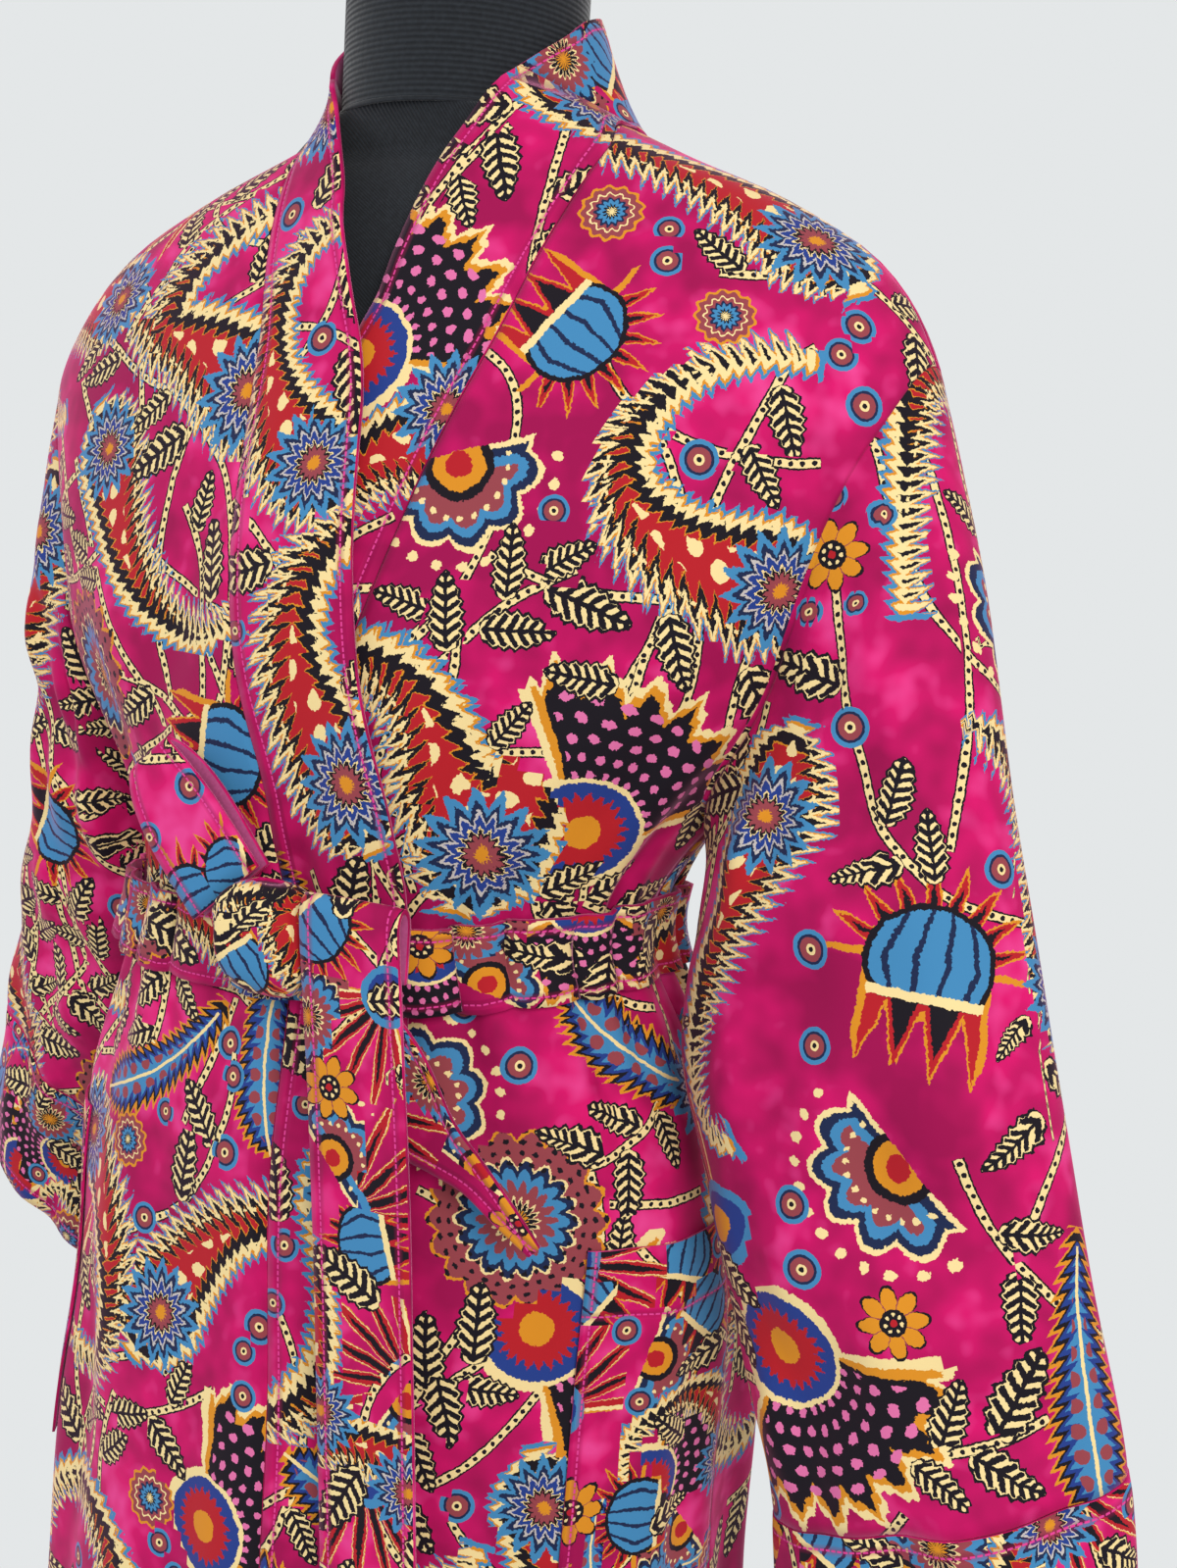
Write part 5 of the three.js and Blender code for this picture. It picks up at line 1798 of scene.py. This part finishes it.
@dataclass
class Stand:
    """The steel pole and the round base, in millimetres."""

    pole_radius: float = 16.0
    pole_low: float = 52.0
    pole_high: float = 699.7
    base_radius: float = 185.0
    base_rim: float = 12.0
    # How far in each step of the base's top lies, and how much higher
    base_steps: tuple[tuple[float, float], ...] = ((152, 4), (5, 34), (2, 1.5))

    def build(self) -> None:
        """Makes the pole and the base with Blender's own modelling tools."""
        finish = ENAMEL.material()
        low, high = self.pole_low, self.pole_high
        pole = self._turned("stand_pole_tube", self.pole_radius, 64, low, high, 1.2)
        for piece, node in ((pole, "stand_pole"), (self._base(), "stand_base")):
            piece.data.materials.append(finish)
            piece.data.shade_smooth()
            piece.data.set_sharp_from_angle(angle=math.radians(35))
            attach(piece, "root")
            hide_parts(node)
            LOG.info("%s built", piece.name)

    def _turned(
        self, name: str, radius: float, around: int, low: float, high: float, softened: float
    ) -> bpy.types.Object:
        """A bar with softened ends.

        Args:
            name: the piece's name.
            radius: the bar's radius.
            around: how many sides it has.
            low: its lower end.
            high: its upper end.
            softened: how far its edges are rounded.

        Returns:
            The object.
        """
        bpy.ops.object.select_all(action="DESELECT")
        bpy.ops.mesh.primitive_cylinder_add(
            vertices=around, radius=radius * MM, depth=(high - low) * MM,
            location=(0, 0, (high + low) / 2 * MM),
        )
        piece = bpy.context.active_object
        piece.name = piece.data.name = name
        bpy.ops.object.transform_apply(location=True, rotation=True, scale=True)
        bevel = piece.modifiers.new("softened", "BEVEL")
        bevel.width = softened * MM
        bevel.segments = 3
        bevel.limit_method = "ANGLE"
        bpy.ops.object.modifier_apply(modifier=bevel.name)
        return piece

    def _base(self) -> bpy.types.Object:
        """The disc: its rim rolled over, its top dished up to the boss."""
        piece = self._turned("stand_base_disc", self.base_radius, 128, 0, self.base_rim, 2.6)
        bpy.ops.object.mode_set(mode="EDIT")
        built = bmesh.from_edit_mesh(piece.data)
        for part in (*built.verts, *built.edges, *built.faces):
            part.select = False
        level = (face for face in built.faces if face.normal.z > 0.99)
        max(level, key=lambda face: face.calc_area()).select = True
        bmesh.update_edit_mesh(piece.data)
        for width, rise in self.base_steps:
            bpy.ops.mesh.inset(thickness=width * MM, depth=0)
            bpy.ops.transform.translate(value=(0, 0, rise * MM))
        bpy.ops.object.mode_set(mode="OBJECT")
        return piece


@dataclass(frozen=True)
class Studio:
    """The camera at the photo's place, the floor and the lights."""

    yaw: float = 25.62
    pitch: float = 9.03
    roll: float = 3.75
    distance: float = 853.6
    focal: float = 1644.6
    side: float = 77.4
    height: float = 1120.0
    tall: float = 1599.0
    sensor: float = 36.0
    floor: float = 0.8
    bright: tuple[float, float, float] = (-0.43, 0.9, 0.0)

    def build(self) -> None:
        """Sets up the camera, the floor and the lights."""
        a, e = math.radians(self.yaw), math.radians(self.pitch)
        back = Vector((math.sin(a) * math.cos(e), -math.cos(a) * math.cos(e), math.sin(e)))
        right = Vector((math.cos(a), math.sin(a), 0))
        up = back.cross(right)
        data = bpy.data.cameras.new("photo_view")
        data.sensor_width = self.sensor
        data.lens = self.focal / self.tall * self.sensor
        camera = bpy.data.objects.new("photo_view", data)
        bpy.context.collection.objects.link(camera)
        turned = Matrix((right, up, back)).transposed()
        turned = turned @ Matrix.Rotation(math.radians(self.roll), 3, "Z")
        place = (right * self.side + Vector((0, 0, self.height)) + back * self.distance) * MM
        bpy.context.scene.view_settings.view_transform = "Standard"
        camera.matrix_world = Matrix.Translation(place) @ turned.to_4x4()
        bpy.context.scene.camera = camera
        self._floor()
        self._lights()

    def _floor(self) -> None:
        """A plain pale round of floor, small enough to stay below the photo's frame."""
        bpy.ops.object.select_all(action="DESELECT")
        bpy.ops.mesh.primitive_circle_add(vertices=128, radius=self.floor, fill_type="NGON")
        floor = bpy.context.active_object
        floor.name = "studio_floor"
        p = Painter("pale_studio_floor", 0.9)
        p.shader.inputs["Base Color"].default_value = linear("C6CACA")
        floor.data.materials.append(p.material)

    def _lights(self) -> None:
        """Soft light from the front left, a fill from the right and a pale surround."""
        world = bpy.context.scene.world or bpy.data.worlds.new("studio")
        bpy.context.scene.world = world
        world.use_nodes = True
        ground = world.node_tree.nodes["Background"]
        ground.inputs[0].default_value = linear("E6E9EA")
        tree = world.node_tree
        place = add_node(tree, "ShaderNodeTexCoord").outputs["Generated"]
        sides = {0: place, 1: self.bright}
        towards = add_node(tree, "ShaderNodeVectorMath", sides, operation="DOT_PRODUCT")
        reach = {"From Min": -0.5, "From Max": 0.62, "To Min": 0.6, "To Max": 0.98}
        reach["Value"] = towards.outputs["Value"]
        spread = add_node(tree, "ShaderNodeMapRange", reach, interpolation_type="SMOOTHSTEP")
        tree.links.new(spread.outputs[0], ground.inputs[1])
        for name, at, size, watts, tint in (
            ("window", (2.2, -2.4, 2.5), 1.4, 95, "FFFDF8"),
            ("fill", (-2.8, -1.6, 1.8), 2.0, 40, "F4F8FF"),
            ("rim", (-0.6, 2.8, 2.4), 2.0, 50, "FFFFFF"),
        ):
            data = bpy.data.lights.new(name, "AREA")
            data.size = size
            data.energy = watts
            data.color = linear(tint)[:3]
            lamp = bpy.data.objects.new(name, data)
            lamp.location = at
            aim = Vector((0, 0, 1.0)) - Vector(at)
            lamp.rotation_euler = aim.to_track_quat("-Z", "Y").to_euler()
            bpy.context.collection.objects.link(lamp)


def main() -> None:
    """Builds the studio, the form, the stand and the robe in order."""
    logging.basicConfig(level=logging.INFO, format="%(message)s")
    Studio().build()
    Form().build()
    Stand().build()
    Robe(Cutter(Velvet())).build()
    bpy.context.view_layer.update()


if __name__ == "__main__":
    main()
